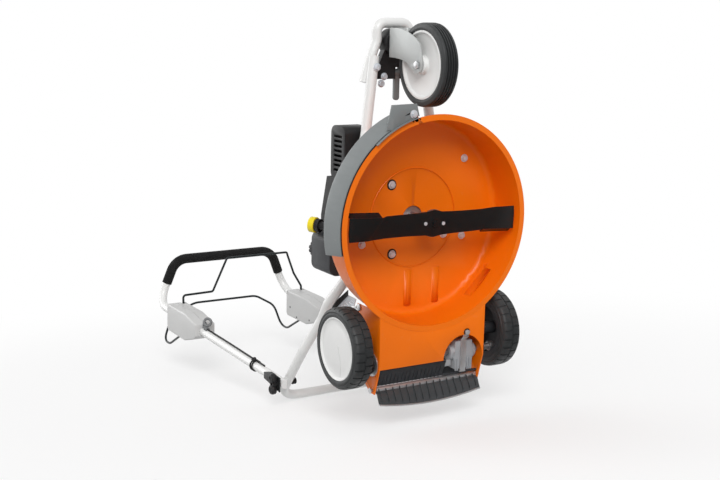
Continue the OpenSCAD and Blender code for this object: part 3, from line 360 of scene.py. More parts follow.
for face in blade_bolt.polygons:
    if math.hypot(face.center.x, face.center.y) < BOLT_CENTRE_R:
        face.material_index = 1
print(len(EDGES), "pieces dressed")

# %% [markdown]
# ## Turned pieces
# Wheels, tyres, caps and knobs are round, so they are made as on a lathe: one vertex is drawn out
# along the profile, and the line is spun round the axis. The profile is a list of pairs, the
# radius and the place along the axis.

# %% A lathe
AXES = {"X": Vector((1, 0, 0)), "Y": Vector((0, 1, 0)), "Z": Vector((0, 0, 1))}
OUTWARD = {"X": Vector((0, 0, 1)), "Y": Vector((1, 0, 0)), "Z": Vector((1, 0, 0))}


def drawn_line(name, points, closed=False):
    clear()
    bpy.ops.mesh.primitive_plane_add(size=0.001, location=points[0])
    piece = bpy.context.object
    piece.name = piece.data.name = name
    bpy.ops.object.mode_set(mode="EDIT")
    bpy.ops.mesh.select_mode(type="VERT")
    bpy.ops.mesh.select_all(action="SELECT")
    bpy.ops.mesh.merge(type="CENTER")
    for last, point in zip(points, points[1:]):
        bpy.ops.mesh.extrude_region_move(TRANSFORM_OT_translate={"value": point - last})
    if closed:
        bpy.ops.mesh.select_all(action="SELECT")
        bpy.ops.mesh.edge_face_add()
    return piece


def lathe(name, axis, centre, profile, steps=96):
    along, out = AXES[axis], OUTWARD[axis]
    piece = drawn_line(name, [mm(*centre) + (out * r + along * h) / 1000 for r, h in profile])
    bpy.ops.mesh.select_all(action="SELECT")
    bpy.ops.mesh.spin(steps=steps, angle=2 * math.pi, center=mm(*centre), axis=along)
    bpy.ops.mesh.select_all(action="SELECT")
    bpy.ops.mesh.remove_doubles(threshold=0.000005)
    bpy.ops.mesh.normals_make_consistent(inside=False)
    bpy.ops.object.mode_set(mode="OBJECT")
    return settle(piece)


def arc(centre_r, centre_h, radius, start, stop, count=5):
    angles = [math.radians(start + (stop - start) * i / (count - 1)) for i in range(count)]
    return [(centre_r + radius * math.cos(a), centre_h + radius * math.sin(a)) for a in angles]


# %% [markdown]
# ### Tyres
# The front tyre has four grooves that run round it, and they are in its profile. The rear tyres
# have blocks, parted by short grooves across the tread. Their rings of faces are picked by place
# and pressed inwards, first one row of blocks and then the other, half a block later.

# %% Front tyre
FRONT_X, REAR_X, AXLE_Z, AXLE_WAY = 377, -296, 100, 6.1
TYRE_R, FRONT_DISC_R, FRONT_W = 100, 82, 44
REAR_DISC_R, REAR_W, WHEEL_IN = 77, 53, 190
GROOVE_DEEP, GROOVES = 5.5, (32.5, 25.6, 18.4, 11.5)
front_profile = [(FRONT_DISC_R + 0.4, 1.5), (FRONT_DISC_R + 0.4, FRONT_W - 1.5)]
front_profile += arc(88, FRONT_W - 4.5, 4.5, 120, 60, 4) + [(95, FRONT_W - 1.6)]
front_profile += arc(94.5, FRONT_W - 6.5, 5, 60, 0, 4)
for groove in GROOVES:
    front_profile += [(TYRE_R, groove + 2.0), (TYRE_R - GROOVE_DEEP, groove + 1.0),
                      (TYRE_R - GROOVE_DEEP, groove - 1.0), (TYRE_R, groove - 2.0)]
front_profile += arc(94.5, 6.5, 5, 0, -60, 4) + [(95, 1.6)] + arc(88, 4.5, 4.5, -60, -120, 4)
front_profile.append(front_profile[0])
front_tyre = lathe("ribbed_front_tyre", "Y", (FRONT_X, -FRONT_W / 2, AXLE_Z), front_profile, 128)
register(front_tyre, "tyre", "wheel_front", ["front_tyre"], 30)
print("front tyre:", len(front_tyre.data.polygons), "faces")

# %% Rear tyres
BLOCKS, STEPS, BLOCK_GAP_DEEP, SHOULDER_R = 28, 6, 0.0026, 0.0935
rear_profile = [(REAR_DISC_R + 0.4, 1.5), (REAR_DISC_R + 0.4, REAR_W - 1.5)]
rear_profile += arc(83, REAR_W - 4, 4, 110, 60, 3) + [(87, REAR_W - 1.0), (88, REAR_W - 2.4),
    (89.5, REAR_W - 2.4), (90.5, REAR_W - 1.2), (95, REAR_W - 3.0), (98.2, REAR_W - 6.5),
    (99.3, REAR_W - 11), (99.7, REAR_W / 2 + 1.6), (97.4, REAR_W / 2 + 0.9),
    (97.4, REAR_W / 2 - 0.9), (99.7, REAR_W / 2 - 1.6), (99.3, 11), (98.2, 6.5), (95, 3.0),
    (90.5, 1.2), (89.5, 2.4), (88, 2.4), (87, 1.0)] + arc(83, 4, 4, -60, -110, 3)
rear_profile.append(rear_profile[0])


def tread(piece, centre, low, high, first, depth):
    only(piece)
    bpy.ops.object.mode_set(mode="EDIT")
    bpy.ops.mesh.select_mode(type="FACE")
    bpy.ops.mesh.select_all(action="DESELECT")
    bpy.ops.object.mode_set(mode="OBJECT")
    step = 2 * math.pi / (BLOCKS * STEPS)
    for face in piece.data.polygons:
        offset = face.center - centre
        out = math.hypot(offset.x, offset.z)
        turn = math.atan2(offset.z, offset.x) % (2 * math.pi)
        face.select = (low < offset.y < high and out > SHOULDER_R
                       and int(turn / step) % STEPS == first)
    bpy.ops.object.mode_set(mode="EDIT")
    bpy.ops.mesh.extrude_region_shrink_fatten(TRANSFORM_OT_shrink_fatten={"value": -depth})
    bpy.ops.object.mode_set(mode="OBJECT")


for side, word in ((1, "left"), (-1, "right")):
    base = WHEEL_IN if side > 0 else -WHEEL_IN - REAR_W
    tyre = lathe("block_tyre_" + word, "Y", (REAR_X, base, AXLE_Z), rear_profile, BLOCKS * STEPS)
    middle = mm(REAR_X, base + REAR_W / 2, AXLE_Z)
    tread(tyre, middle, 0.0005, 0.024, 0, BLOCK_GAP_DEEP)
    tread(tyre, middle, -0.024, -0.0005, STEPS // 2, BLOCK_GAP_DEEP)
    register(tyre, "tyre", "wheel_" + word, ["rear_tyre_" + word], 30)
print("rear tyres:", len(tyre.data.polygons), "faces each")

# %% [markdown]
# ### Wheel discs
# The discs are white mouldings, dished towards the hub. The rear ones are closed outside with a
# shallow dome, and one thin curved line is cut into each. The line is a piece of a thin ring, taken
# out of the disc with a boolean modifier. The rear discs are dark inside, like the tyres.

# %% Outlines pushed into solids, and cuts
def across(points, y):
    return [mm(x, y, z) for x, z in points]


def prism(name, outline, push):
    piece = drawn_line(name, outline, closed=True)
    bpy.ops.mesh.select_all(action="SELECT")
    bpy.ops.mesh.extrude_region_move(TRANSFORM_OT_translate={"value": mm(*push)})
    bpy.ops.mesh.select_all(action="SELECT")
    bpy.ops.mesh.normals_make_consistent(inside=False)
    bpy.ops.object.mode_set(mode="OBJECT")
    return settle(piece)


def carve(piece, cutter, operation="DIFFERENCE"):
    modify(piece, "BOOLEAN", operation=operation, object=cutter, solver="EXACT")
    bpy.data.objects.remove(cutter)
    return piece


# %% Rear wheel discs
LINE_CENTRE, LINE_R, LINE_W = (-332, 173), 93.5, 1.5
line_turns = [math.radians(-109 + 48 * i / 16) for i in range(17)]
line_outline = [(LINE_CENTRE[0] + (LINE_R + LINE_W / 2) * math.cos(a),
                 LINE_CENTRE[1] + (LINE_R + LINE_W / 2) * math.sin(a)) for a in line_turns]
line_outline += [(LINE_CENTRE[0] + (LINE_R - LINE_W / 2) * math.cos(a),
                  LINE_CENTRE[1] + (LINE_R - LINE_W / 2) * math.sin(a)) for a in reversed(line_turns)]
for side, word in ((1, "left"), (-1, "right")):
    profile = [(AXLE_WAY, 0), (15, 0), (16, 1), (16, 35), (60.5, 35), (61, 4), (62, 3), (65, 3), (76.5, 1.6),
               (77.2, 2.4), (77.2, REAR_W - 2.4), (76.5, REAR_W - 1.4), (75, REAR_W - 1.2),
               (73.5, REAR_W - 2.2), (71.5, REAR_W - 5.0), (69, REAR_W - 6.0),
               (55, REAR_W - 4.4), (38, REAR_W - 3.0), (20, REAR_W - 2.3), (6, REAR_W - 2.0),
               (0, REAR_W - 2.0), (0, REAR_W - 13), (AXLE_WAY, REAR_W - 13), (AXLE_WAY, 0)]
    profile = [(r, h * side) for r, h in profile]
    disc = lathe("wheel_disc_" + word, "Y", (REAR_X, WHEEL_IN * side, AXLE_Z), profile, 96)
    line = prism("thin_line", across(line_outline, side * (WHEEL_IN + REAR_W - 7.2)), (0, side * 20, 0))
    carve(disc, line)
    register(disc, "white_plastic", "wheel_" + word, ["rear_wheel_" + word], 30)
    disc.data.materials.append(FINISHES["dark_plastic"])
    for face in disc.data.polygons:
        if abs(face.center.y) < (WHEEL_IN + 36) / 1000 and face.normal.y * side < 0.5:
            face.material_index = 1
print("rear discs:", len(disc.data.polygons), "faces each")

# %% Front wheel disc
half = [(AXLE_WAY, 24.5), (19, 24.5), (20.5, 23), (21.5, 16), (24, 13.5), (30, 12.6), (50, 12.2),
        (68, 13.5), (73, 15), (75.5, 18.5), (77.5, 20.6), (81.5, 20.6), (82.2, 19.8)]
profile = half + [(r, -h) for r, h in reversed(half)]
profile.append(profile[0])
front_disc = lathe("wheel_disc_front", "Y", (FRONT_X, 0, AXLE_Z), profile, 96)
register(front_disc, "white_plastic", "wheel_front", ["front_wheel"], 30)
print("front disc:", len(front_disc.data.polygons), "faces")

# %% [markdown]
# ### Control boxes
# The boxes on the handle are two moulded shells that meet in a seam. The outline is drawn once,
# pushed across, and its long edges are rounded. The hollow, the way for the handle's leg, the
# levers' slots and the seam are then cut out of it, so that nothing rubs when a lever moves.

# %% Control box shells
LEG_FOOT, LEG_TOP, LEG_WAY_R = mm(-484, 206, 446), mm(-451, 227, 1274), 12.9
BOX_FACE, BOX_DEEP, BOX_WALL, SEAM_W, BAIL_WAY_R = 180, 64, 3.2, 1.0, 3.6
BOX_OUT = [(-426, 1168), (-504, 1168), (-512, 1160), (-512, 1030), (-490, 956), (-477, 940), (-441, 940),
           (-432, 990), (-426, 1030)]
BOX_IN = [(-430, 1164), (-503, 1164), (-508, 1158), (-508, 1031), (-487, 959), (-475, 944), (-443, 944),
          (-436, 992), (-430, 1031)]


def block(name, low, high, bevel=0.0):
    clear()
    low, high = mm(*low), mm(*high)
    bpy.ops.mesh.primitive_cube_add(size=1, location=(low + high) / 2)
    piece = bpy.context.object
    piece.name = piece.data.name = name
    piece.scale = high - low
    settle(piece)
    if bevel:
        modify(piece, "BEVEL", width=bevel / 1000, segments=3)
    return piece


def rod(name, start, stop, radius, sides=32):
    clear()
    length = (stop - start).length
    turn = (stop - start).to_track_quat("Z", "Y").to_euler()
    bpy.ops.mesh.primitive_cylinder_add(vertices=sides, radius=radius / 1000, depth=length,
                                        location=(start + stop) / 2, rotation=turn)
    piece = bpy.context.object
    piece.name = piece.data.name = name
    return settle(piece)


def sized(points, factor):
    cx = sum(p[0] for p in points) / len(points)
    cz = sum(p[1] for p in points) / len(points)
    return [(cx + (x - cx) * factor, cz + (z - cz) * factor) for x, z in points]


def mirror_y(vector, side):
    return Vector((vector.x, vector.y * side, vector.z))


def control_box(side, word):
    shell = prism("control_box_shell_" + word, across(BOX_OUT, BOX_FACE * side), (0, BOX_DEEP * side, 0))
    eased(shell, 0.005, 60, segments=4)
    eased(shell, 0.0012, 20)
    seam_start = BOX_FACE + BOX_DEEP / 2 - SEAM_W / 2
    seam = prism("seam", across(sized(BOX_OUT, 1.1), seam_start * side), (0, SEAM_W * side, 0))
    core = prism("seam core", across(sized(BOX_OUT, 0.972), 205 * side), (0, 20 * side, 0))
    carve(shell, carve(seam, core))
    deep = (BOX_DEEP - 2 * BOX_WALL) * side
    carve(shell, prism("hollow", across(BOX_IN, (BOX_FACE + BOX_WALL) * side), (0, deep, 0)))
    carve(shell, rod("leg way", mirror_y(LEG_FOOT, side), mirror_y(LEG_TOP, side), LEG_WAY_R))
    stop_slot = 230 if side > 0 else 192
    for low_y, high_y, x, z0, long in ((stop_slot - 6, stop_slot + 6, -440, 1144, 40),
                                       (207, 219, -517, 1080, 110)):
        ends = sorted((low_y * side, high_y * side))
        carve(shell, block("slot", (x, ends[0], z0), (x + 20, ends[1], z0 + long)))
    for x, z in ((-433, 1157), (-503, 1092)):
        carve(shell, rod("bore", mm(x, 170 * side, z), mm(x, 243.4 * side, z), BAIL_WAY_R, 24))
    register(shell, "white_plastic", "handle", ["control_box_" + word], 40)
    shell.data.materials[0] = BOX_PLASTIC
    return shell


for side, word in ((1, "left"), (-1, "right")):
    box = control_box(side, word)
print("control boxes:", len(box.data.polygons), "faces each")

# %% [markdown]
# ### Small metal parts
# Screws, nuts and caps are short lathe pieces too, but they point in many directions. Each is
# turned at the origin along Z, then laid at its place and settled there.

# %% Turned pieces in any direction
def turned(name, place, towards, profile, steps=48):
    piece = lathe(name, "Z", (0, 0, 0), profile, steps)
    piece.rotation_euler = Vector(towards).to_track_quat("Z", "Y").to_euler()
    piece.location = place
    return settle(piece)


def joined(name, pieces):
    only(pieces[0])
    for piece in pieces[1:]:
        piece.select_set(True)
    bpy.ops.object.join()
    piece = bpy.context.object
    piece.name = piece.data.name = name
    return settle(piece)


# %% Screws in the boxes' inner sides
screw_profile = [(0, 0.9), (1.6, 0.9), (1.7, 1.9), (3.0, 1.9), (3.4, 1.5), (3.4, 0), (0, 0)]
screws = []
for side in (1, -1):
    for x, z in ((-479, 1139), (-493, 1006)):
        screws.append(turned("box screw", mm(x, BOX_FACE * side, z), (0, -side, 0),
                             [(r, h - 2.0) for r, h in screw_profile], 24))
        carve(bpy.data.objects["control_box_shell_" + ("left" if side > 0 else "right")],
              rod("recess", mm(x, (BOX_FACE - 1) * side, z), mm(x, (BOX_FACE + 2.05) * side, z), 3.6, 24))
screws = register(joined("box_screws", screws), "dark_paint", "handle")
print("screws:", len(screws.data.polygons), "faces")

# %% Cable outlet of the right box
leg_line = (mirror_y(LEG_TOP, -1) - mirror_y(LEG_FOOT, -1)).normalized()
cable_end = mm(-449.4, -218.4, 934)
ribs = [(2.6, 0)]
for start in (0, 6, 12):
    ribs += [(6.0, start), (7.4, start + 0.8), (7.4, start + 4.0), (6.0, start + 4.8)]
ribs += [(4.6, 18), (4.6, 30), (2.6, 30)]
adjuster = turned("adjuster", cable_end - leg_line * 0.026, leg_line, ribs + [ribs[0]], 6)
ring_turn = Vector((0.35, -0.55, -0.75)).to_track_quat("Z", "Y").to_euler()
loop = torus(0.0105, 0.0042, 40, 12, mm(-431, -213, 921), ring_turn)
strap = rod("strap", mm(-436, -215, 931), mm(-446, -217, 945), 4.2, 12)
outlet = register(joined("cable_outlet", [adjuster, loop, strap]), "zinc", "handle")
outlet.data.materials[0] = GREY_PLASTIC
print("cable outlet:", len(outlet.data.polygons), "faces")

# %% [markdown]
# ### Fork of the front wheel
# The fork is one folded plate. A block with rounded edges gives the folds, a smaller block takes
# out its inside, and the side outline then trims the channel to the two curved cheeks. The stem
# and its collar are turned on top.

# %% Folded fork with its stem
SWIVEL_X = 425
FORK_SIDE = [(389, 245), (389, 205), (386.5, 175), (380, 148), (366, 128), (358, 114), (356, 103),
             (359, 93), (367, 86), (378, 83.5), (395, 84), (412, 89), (428, 97), (438, 110),
             (447, 130), (453, 148), (457.5, 167), (460.5, 190), (461, 212), (461, 245)]
fork = block("folded_fork", (330, -30, 40), (480, 30, 236), 11)
carve(fork, block("fork inside", (300, -26, 20), (500, 26, 232), 7))
carve(fork, prism("fork side", across(FORK_SIDE, -60), (0, 120, 0)), "INTERSECT")
carve(fork, rod("axle way", mm(FRONT_X, -60, AXLE_Z), mm(FRONT_X, 60, AXLE_Z), AXLE_WAY))
eased(fork, 0.0007, 50)
stem = turned("stem", mm(SWIVEL_X, 0, 235), (0, 0, 1),
              [(0, 0), (10, 0), (10, 42), (14.2, 42), (15, 42.8), (15, 47.2), (14.2, 48), (10, 48),
               (10, 49), (9.2, 49.8), (0, 49.8), (0, 0)])
fork = register(joined("folded_fork", [fork, stem]), "zinc", "fork", ["swivel_fork"], 40)
fork.data.materials[0] = FORK_PLATE
print("fork:", len(fork.data.polygons), "faces")

# %% [markdown]
# ### Wires
# A wire is a line of points that is turned into a curve, given a round section and turned back
# into a mesh, with its ends closed.

# %% Wires along drawn lines
def wire(name, points, radius, sides=8):
    piece = drawn_line(name, points)
    bpy.ops.object.mode_set(mode="OBJECT")
    only(piece)
    bpy.ops.object.convert(target="CURVE")
    piece = bpy.context.object
    piece.data.bevel_depth = radius / 1000
    piece.data.bevel_resolution = sides // 2
    piece.data.use_fill_caps = True
    bpy.ops.object.convert(target="MESH")
    piece = settle(bpy.context.object)
    bpy.ops.object.mode_set(mode="EDIT")
    bpy.ops.mesh.select_all(action="SELECT")
    bpy.ops.mesh.remove_doubles(threshold=0.000005)
    bpy.ops.mesh.normals_make_consistent(inside=False)
    bpy.ops.object.mode_set(mode="OBJECT")
    return piece


# %% [markdown]
# ### Bent tubes and bails
# A bent tube is a line of straight runs with a round bend at each corner. The corners are turned
# into arcs first, and a round section is swept along the line, so a bend has no steps. The legs are
# flattened where the two handles are clamped on each other, so that nothing rubs when one folds.

# %% Rounded corners and pipes
STRAIGHT = math.radians(89.5)


def rounded(points, bend, count=10):
    path = [points[0]]
    for before, corner, after in zip(points, points[1:], points[2:]):
        back, ahead = (before - corner).normalized(), (after - corner).normalized()
        half = back.angle(ahead) / 2
        if half > STRAIGHT:
            path.append(corner)
            continue
        reach = min(bend / 1000 / math.tan(half), 0.49 * (before - corner).length,
                    0.49 * (after - corner).length)
        centre = corner + (back + ahead).normalized() * reach / math.cos(half)
        first, last = corner + back * reach - centre, corner + ahead * reach - centre
        for i in range(count):
            swung = first.normalized().slerp(last.normalized(), i / (count - 1))
            path.append(centre + swung * first.length)
    return path + [points[-1]]


def pipe(name, points, bend, radius, slot, body, node, sides=28):
    piece = wire(name, rounded([mm(*p) for p in points], bend), radius, sides)
    return register(piece, slot, body, [node], 40)


def loop_of(half):
    return half + [(x, -y, z) for x, y, z in reversed(half)]


# %% Frame and yoke
FRAME_R, HANDLE_R, GRIP_R, BAIL_R = 13, 12.5, 15.5, 3.5
side_tube = [(392, 69, 235), (200, 98, 220), (150, 148, 160.8), (-108, 148, 160.8), (-228, 172, 263),
             (-263.5, 172, 285.5)]
sides = [wire("side tube", rounded([mm(x, y * side, z) for x, y, z in side_tube], 26), FRAME_R, 28)
         for side in (1, -1)]
register(joined("side_tubes", sides), "white_paint", "chassis", ["frame_tubes"], 40)
yoke_half = [(326, 81, 260.8), (404, 57, 260.8), (427, 47, 260.8), (472, 47, 260.8)]
pipe("yoke_tube", loop_of(yoke_half), 34, HANDLE_R, "white_paint", "chassis", "front_yoke")
print("side tubes and yoke")

# %% Handles and their clamp flats
lower_half = [(-263.8, 172, 285.7), (-275.3, 172, 293), (-371, 190, 356), (-540, 190, 491)]
lower = pipe("lower_handle_tube", loop_of(lower_half), 56, HANDLE_R, "white_paint", "chassis", "lower_handle")
upper_half = [(-484.7, 205.5, 428), (-451, 227, 1274), (-310, 172, 1268)]
upper = pipe("upper_handle_tube", loop_of(upper_half), 55, HANDLE_R, "white_paint", "handle", "upper_handle")
for side in (1, -1):
    flats = sorted((199.5 * side, 219.5 * side)), sorted((169.8 * side, 199.8 * side))
    carve(lower, block("flat", (-536, flats[0][0], 420), (-458, flats[0][1], 498)))
    carve(upper, block("flat", (-524, flats[1][0], 386), (-444, flats[1][1], 508)))
grip_half = [(-386.3, 201.8, 1271.2), (-310, 172, 1268)]
pipe("foam_grip", loop_of(grip_half), 55, GRIP_R, "foam", "handle", "grip")
print("handles:", len(upper.data.polygons), "faces in the upper one")

# %% Bails
stop_line = [(-433, 243, 1157), (-433, 230, 1157), (-415, 230, 1157), (-371, 206, 1165), (-313, 186, 1169),
             (-296, 176, 1159), (-296, -40, 1159), (-401, -90, 1159), (-403, -192, 1158),
             (-433, -192, 1157), (-433, -180.5, 1157)]
pipe("stop_bail_wire", stop_line, 9, BAIL_R, "black_coat", "stop_lever", "stop_bail", 16)
drive_half = [(-503, 180.5, 1092), (-503, 213, 1092), (-576, 213, 1223), (-573, 213, 1268), (-503, 188, 1272),
              (-459, 112, 1259)]
pipe("drive_bail_wire", loop_of(drive_half), 60, BAIL_R, "black_coat", "drive_lever", "drive_bail", 16)
print("two bails")

# %% [markdown]
# ### Rear flap
# The flap is a thin sheet on a hinge tube. Its lower edge bows outwards, so the edge line is drawn
# first, pulled up to the hinge and pressed straight there. Small webs stiffen its underside, and a
# bright rolled edge follows the line.

# %% Flap with its hinge tube
HINGE_X, HINGE_Z, FLAP_HALF, EDGE_Z, WEB_STEP = -404, 71, 150, 43, 20


def flap_tip(y):
    return -448 + 14 * (y / FLAP_HALF) ** 2


edge_line = [mm(flap_tip(y), y, EDGE_Z) for y in range(-FLAP_HALF, FLAP_HALF + 1, 15)]
sheet = drawn_line("flap sheet", edge_line)
bpy.ops.mesh.select_all(action="SELECT")
bpy.ops.mesh.extrude_region_move(TRANSFORM_OT_translate={"value": mm(24, 0, 12)})
bpy.ops.mesh.extrude_region_move(TRANSFORM_OT_translate={"value": mm(20, 0, 11)})
bpy.ops.transform.resize(value=(0, 1, 1), center_override=mm(-406, 0, 66))
bpy.ops.object.mode_set(mode="OBJECT")
settle(sheet)
modify(sheet, "SOLIDIFY", thickness=0.002, offset=0)
modify(sheet, "SUBSURF", levels=2, render_levels=2, subdivision_type="SIMPLE")
webs = []
for y in range(-140, 141, WEB_STEP):
    tip = flap_tip(y)
    web_side = [(HINGE_X, 68), (tip + 1, 44), (tip + 14, 42), (HINGE_X + 4, 63)]
    webs.append(prism("web", across(web_side, y - 1), (0, 2, 0)))
flap = register(joined("flap_sheet", [sheet] + webs), "grey_paint", "flap", ["rear_flap"], 40)
flap.data.materials[0] = FLAP_PLASTIC
register(wire("flap_edge", edge_line, 2.6), "zinc", "flap")
tube_half = [(8, -151), (8, -150.2), (7.2, -149.6), (7.6, -148.5), (7.6, 0)]
tube_profile = [(4.1, -151)] + tube_half + [(r, -h) for r, h in reversed(tube_half)]
tube_profile += [(4.1, 151), (4.1, -151)]
hinge = lathe("flap_hinge", "Y", (HINGE_X, 0, HINGE_Z), tube_profile, 40)
register(hinge, "zinc", "flap")
print("flap:", len(flap.data.polygons), "faces")

# %% [markdown]
# ### Blade
# The blade is one black coated bar. Its outline is drawn for one half and turned round for the
# other, because both ends are alike. Its outer thirds step down along a slanted crease, and behind
# each end a wing turns up, which lifts the grass.

# %% Blade with its wings
BLADE_TURN, BLADE_LOW, BLADE_THICK = math.radians(3), 52, 4
CREASE_X, CREASE_Y, CREASE_SLOPE, CREASE_RUN, STEP_DOWN = -6, 146, 0.72, 12, 0.003
half_outline = [(33, 0), (29, 24), (30, 80), (33, 140), (38, 184), (40, 236.6), (20, 239.2), (-17, 239.4),
                (-17, 146), (-20, 136), (-25, 60), (-28, 24)]


def half_turned(points):
    return [(-x, -y) for x, y in points]


def step_down(piece):
    for vertex in piece.data.vertices:
        x, y = vertex.co.x * 1000, vertex.co.y * 1000
        side = 1 if y > 0 else -1
        beyond = side * y - CREASE_Y - CREASE_SLOPE * (side * x - CREASE_X)
        vertex.co.z -= STEP_DOWN * min(max(beyond / CREASE_RUN, 0), 1)
    return piece


bar_outline = [mm(x, y, BLADE_LOW) for x, y in half_outline + half_turned(half_outline)]
bar = prism("blade bar", bar_outline, (0, 0, BLADE_THICK))
bpy.ops.object.mode_set(mode="EDIT")
for side in (1, -1):
    for offset in (0, CREASE_RUN):
        bpy.ops.mesh.select_all(action="SELECT")
        bpy.ops.mesh.bisect(plane_co=mm(CREASE_X * side, (CREASE_Y + offset) * side, BLADE_LOW),
                            plane_no=(-CREASE_SLOPE * side, 1.0 * side, 0))
bpy.ops.object.mode_set(mode="OBJECT")
step_down(bar)
eased(bar, 0.0006, 50)
parts = [bar]
wing_end = [(-16, 148, 0.2), (-13.5, 148, 3.9), (-24, 151, 18), (-27, 151, 16)]
for side in (1, -1):
    wing = [mm(x * side, y * side, BLADE_LOW + up) for x, y, up in wing_end]
    parts.append(prism("wing", wing, (0, 87 * side, 0)))
boss = [(0, -1.5), (17, -1.5), (19, -0.5), (30, 0.3), (30, 2), (0, 2), (0, -1.5)]
parts.append(lathe("boss", "Z", (0, 0, 0), [(r, BLADE_LOW + up) for r, up in boss], 64))
blade = joined("mulching_blade", parts)
blade.rotation_euler = (0, 0, BLADE_TURN)
settle(blade)
register(blade, "black_coat", "rotor", ["blade"], 30)
print("blade:", len(blade.data.polygons), "faces")

# %% [markdown]
# ### Small details that the photograph shows
# Black seal washers sit under two of the engine's bolts, and a ring is pressed into the bowl. The
# skirt's bracket has a lip along the rim. A coil spring pulls the lock lever, and a notched plate
# stands by each rear wheel. The clamp knobs have two lobes, and a double clip holds the cable.

# %% Seal washers and the pressed ring
SEALED_BOLTS = [(84.7, -63.8), (-88.4, -58.5)]
PLATFORM_LOW, CEILING, RIM = 148, 145, 40
SEAL_IN, SEAL_OUT, RING_R = 10.1, 13.4, 0.1245
seal_profile = [(SEAL_IN, PLATFORM_LOW), (SEAL_IN, PLATFORM_LOW - 2.4), (12.4, PLATFORM_LOW - 1.8),
                (SEAL_OUT, PLATFORM_LOW - 0.2), (SEAL_OUT, PLATFORM_LOW), (SEAL_IN, PLATFORM_LOW)]
seals = [lathe("seal washer", "Z", (x, y, 0), seal_profile, 40) for x, y in SEALED_BOLTS]
register(joined("seal_washers", seals), "rubber", "chassis")
ring = torus(RING_R, 0.0014, 160, 10, mm(0, 0, CEILING + 0.2))
ring.name = ring.data.name = "pressed_ring"
register(ring, "orange_paint", "chassis")
print(len(seals), "seal washers and a ring")

# %% Lip of the skirt's bracket, and the painted shade of its slot
LIP_IN, LIP_OUT, LIP_START = 266.2, 291, -14.5


def round_plate(name, radius_in, radius_out, start, stop, low, high, count=14):
    turns = [math.radians(start + (stop - start) * i / (count - 1)) for i in range(count)]
    edge = [mm(radius_out * math.cos(a), radius_out * math.sin(a), low) for a in turns]
    edge += [mm(radius_in * math.cos(a), radius_in * math.sin(a), low) for a in reversed(turns)]
    return prism(name, edge, (0, 0, high - low))


lip = [round_plate("lip", LIP_IN, LIP_OUT, LIP_START, -31.5, RIM - 3.2, RIM - 0.4),
       round_plate("lip edge", LIP_IN, 268.4, LIP_START, -42, RIM - 9, RIM - 0.4)]
lip = joined("skirt_lip", lip)
eased(lip, 0.0006, 50)
register(lip, "grey_paint", "chassis")
# The slot is not cut: a thin black sheet on the lip is painted shade where the slot's opening shows dark
slot_shade_outline = [mm(264, -104, RIM - 3.5), mm(277, -79, RIM - 3.5), mm(269, -76, RIM - 3.5)]
register(prism("bracket_slot_shade", slot_shade_outline, (0, 0, 0.4)), "black_plastic", "chassis")
print("lip:", len(lip.data.polygons), "faces")

# %% Spring of the lock lever, and nuts of the yoke
SPRING_FROM, SPRING_TO = mm(371, -33, 262), mm(364, 8, 262)
SPRING_R, SPRING_TURNS, PER_TURN = 0.0042, 9, 10
spring_points = []
for i in range(SPRING_TURNS * PER_TURN + 1):
    angle = 2 * math.pi * i / PER_TURN
    centre = SPRING_FROM.lerp(SPRING_TO, i / (SPRING_TURNS * PER_TURN))
    spring_points.append(centre + Vector((math.cos(angle) * SPRING_R, 0, math.sin(angle) * SPRING_R)))
register(wire("lock_spring", spring_points, 0.9, 8), "zinc", "chassis")
nut_profile = [(0, 6), (6.2, 6), (7, 5.2), (7, 0), (9.5, -0.2), (9.5, -1.8), (0, -1.8), (0, 6)]
for index, (x, y) in enumerate(((340.5, -28), (323, -36))):
    nut = turned("yoke_nut_%d" % index, mm(x, y, 252), (0, 0, -1), nut_profile, 24)
    register(nut, "zinc", "chassis").data.materials[0] = BRIGHT_HEAD
print("spring of", SPRING_TURNS, "turns")

# %% Notched plates by the rear wheels, each with a painted shadow laid over it
PLATE_SIDE = [(-196, 160), (-194, 199), (-231, 252), (-244, 262), (-215, 168)]
SHADE_SIDE = [(-180, 196), (-242, 284), (-246, 262), (-194, 196)]
PLATE_Y, SHADE_Y, NOTCHES = 150.5, 152.6, 5
for side, word in ((1, "left"), (-1, "right")):
    plate = prism("scale plate", across(PLATE_SIDE, PLATE_Y * side), (0, 1.8 * side, 0))
    for i in range(NOTCHES):
        x, z = -202 - i * 6.5, 184 + i * 12
        notch_side = [(x, z), (x - 5, z - 13), (x - 8, z - 12), (x - 3, z + 1)]
        carve(plate, prism("notch", across(notch_side, 140 * side), (0, 20 * side, 0)))
    plate.name = plate.data.name = "scale_plate_" + word
    register(plate, "zinc", "chassis").data.materials[0] = BRIGHT_HEAD
    # A thin black sheet across the upper part of each plate is a painted shadow, not a part of the mower
    shade = prism("scale_shade_" + word, across(SHADE_SIDE, SHADE_Y * side), (0, 1.6 * side, 0))
    register(shade, "black_plastic", "chassis")
print("plates:", len(plate.data.polygons), "faces each")

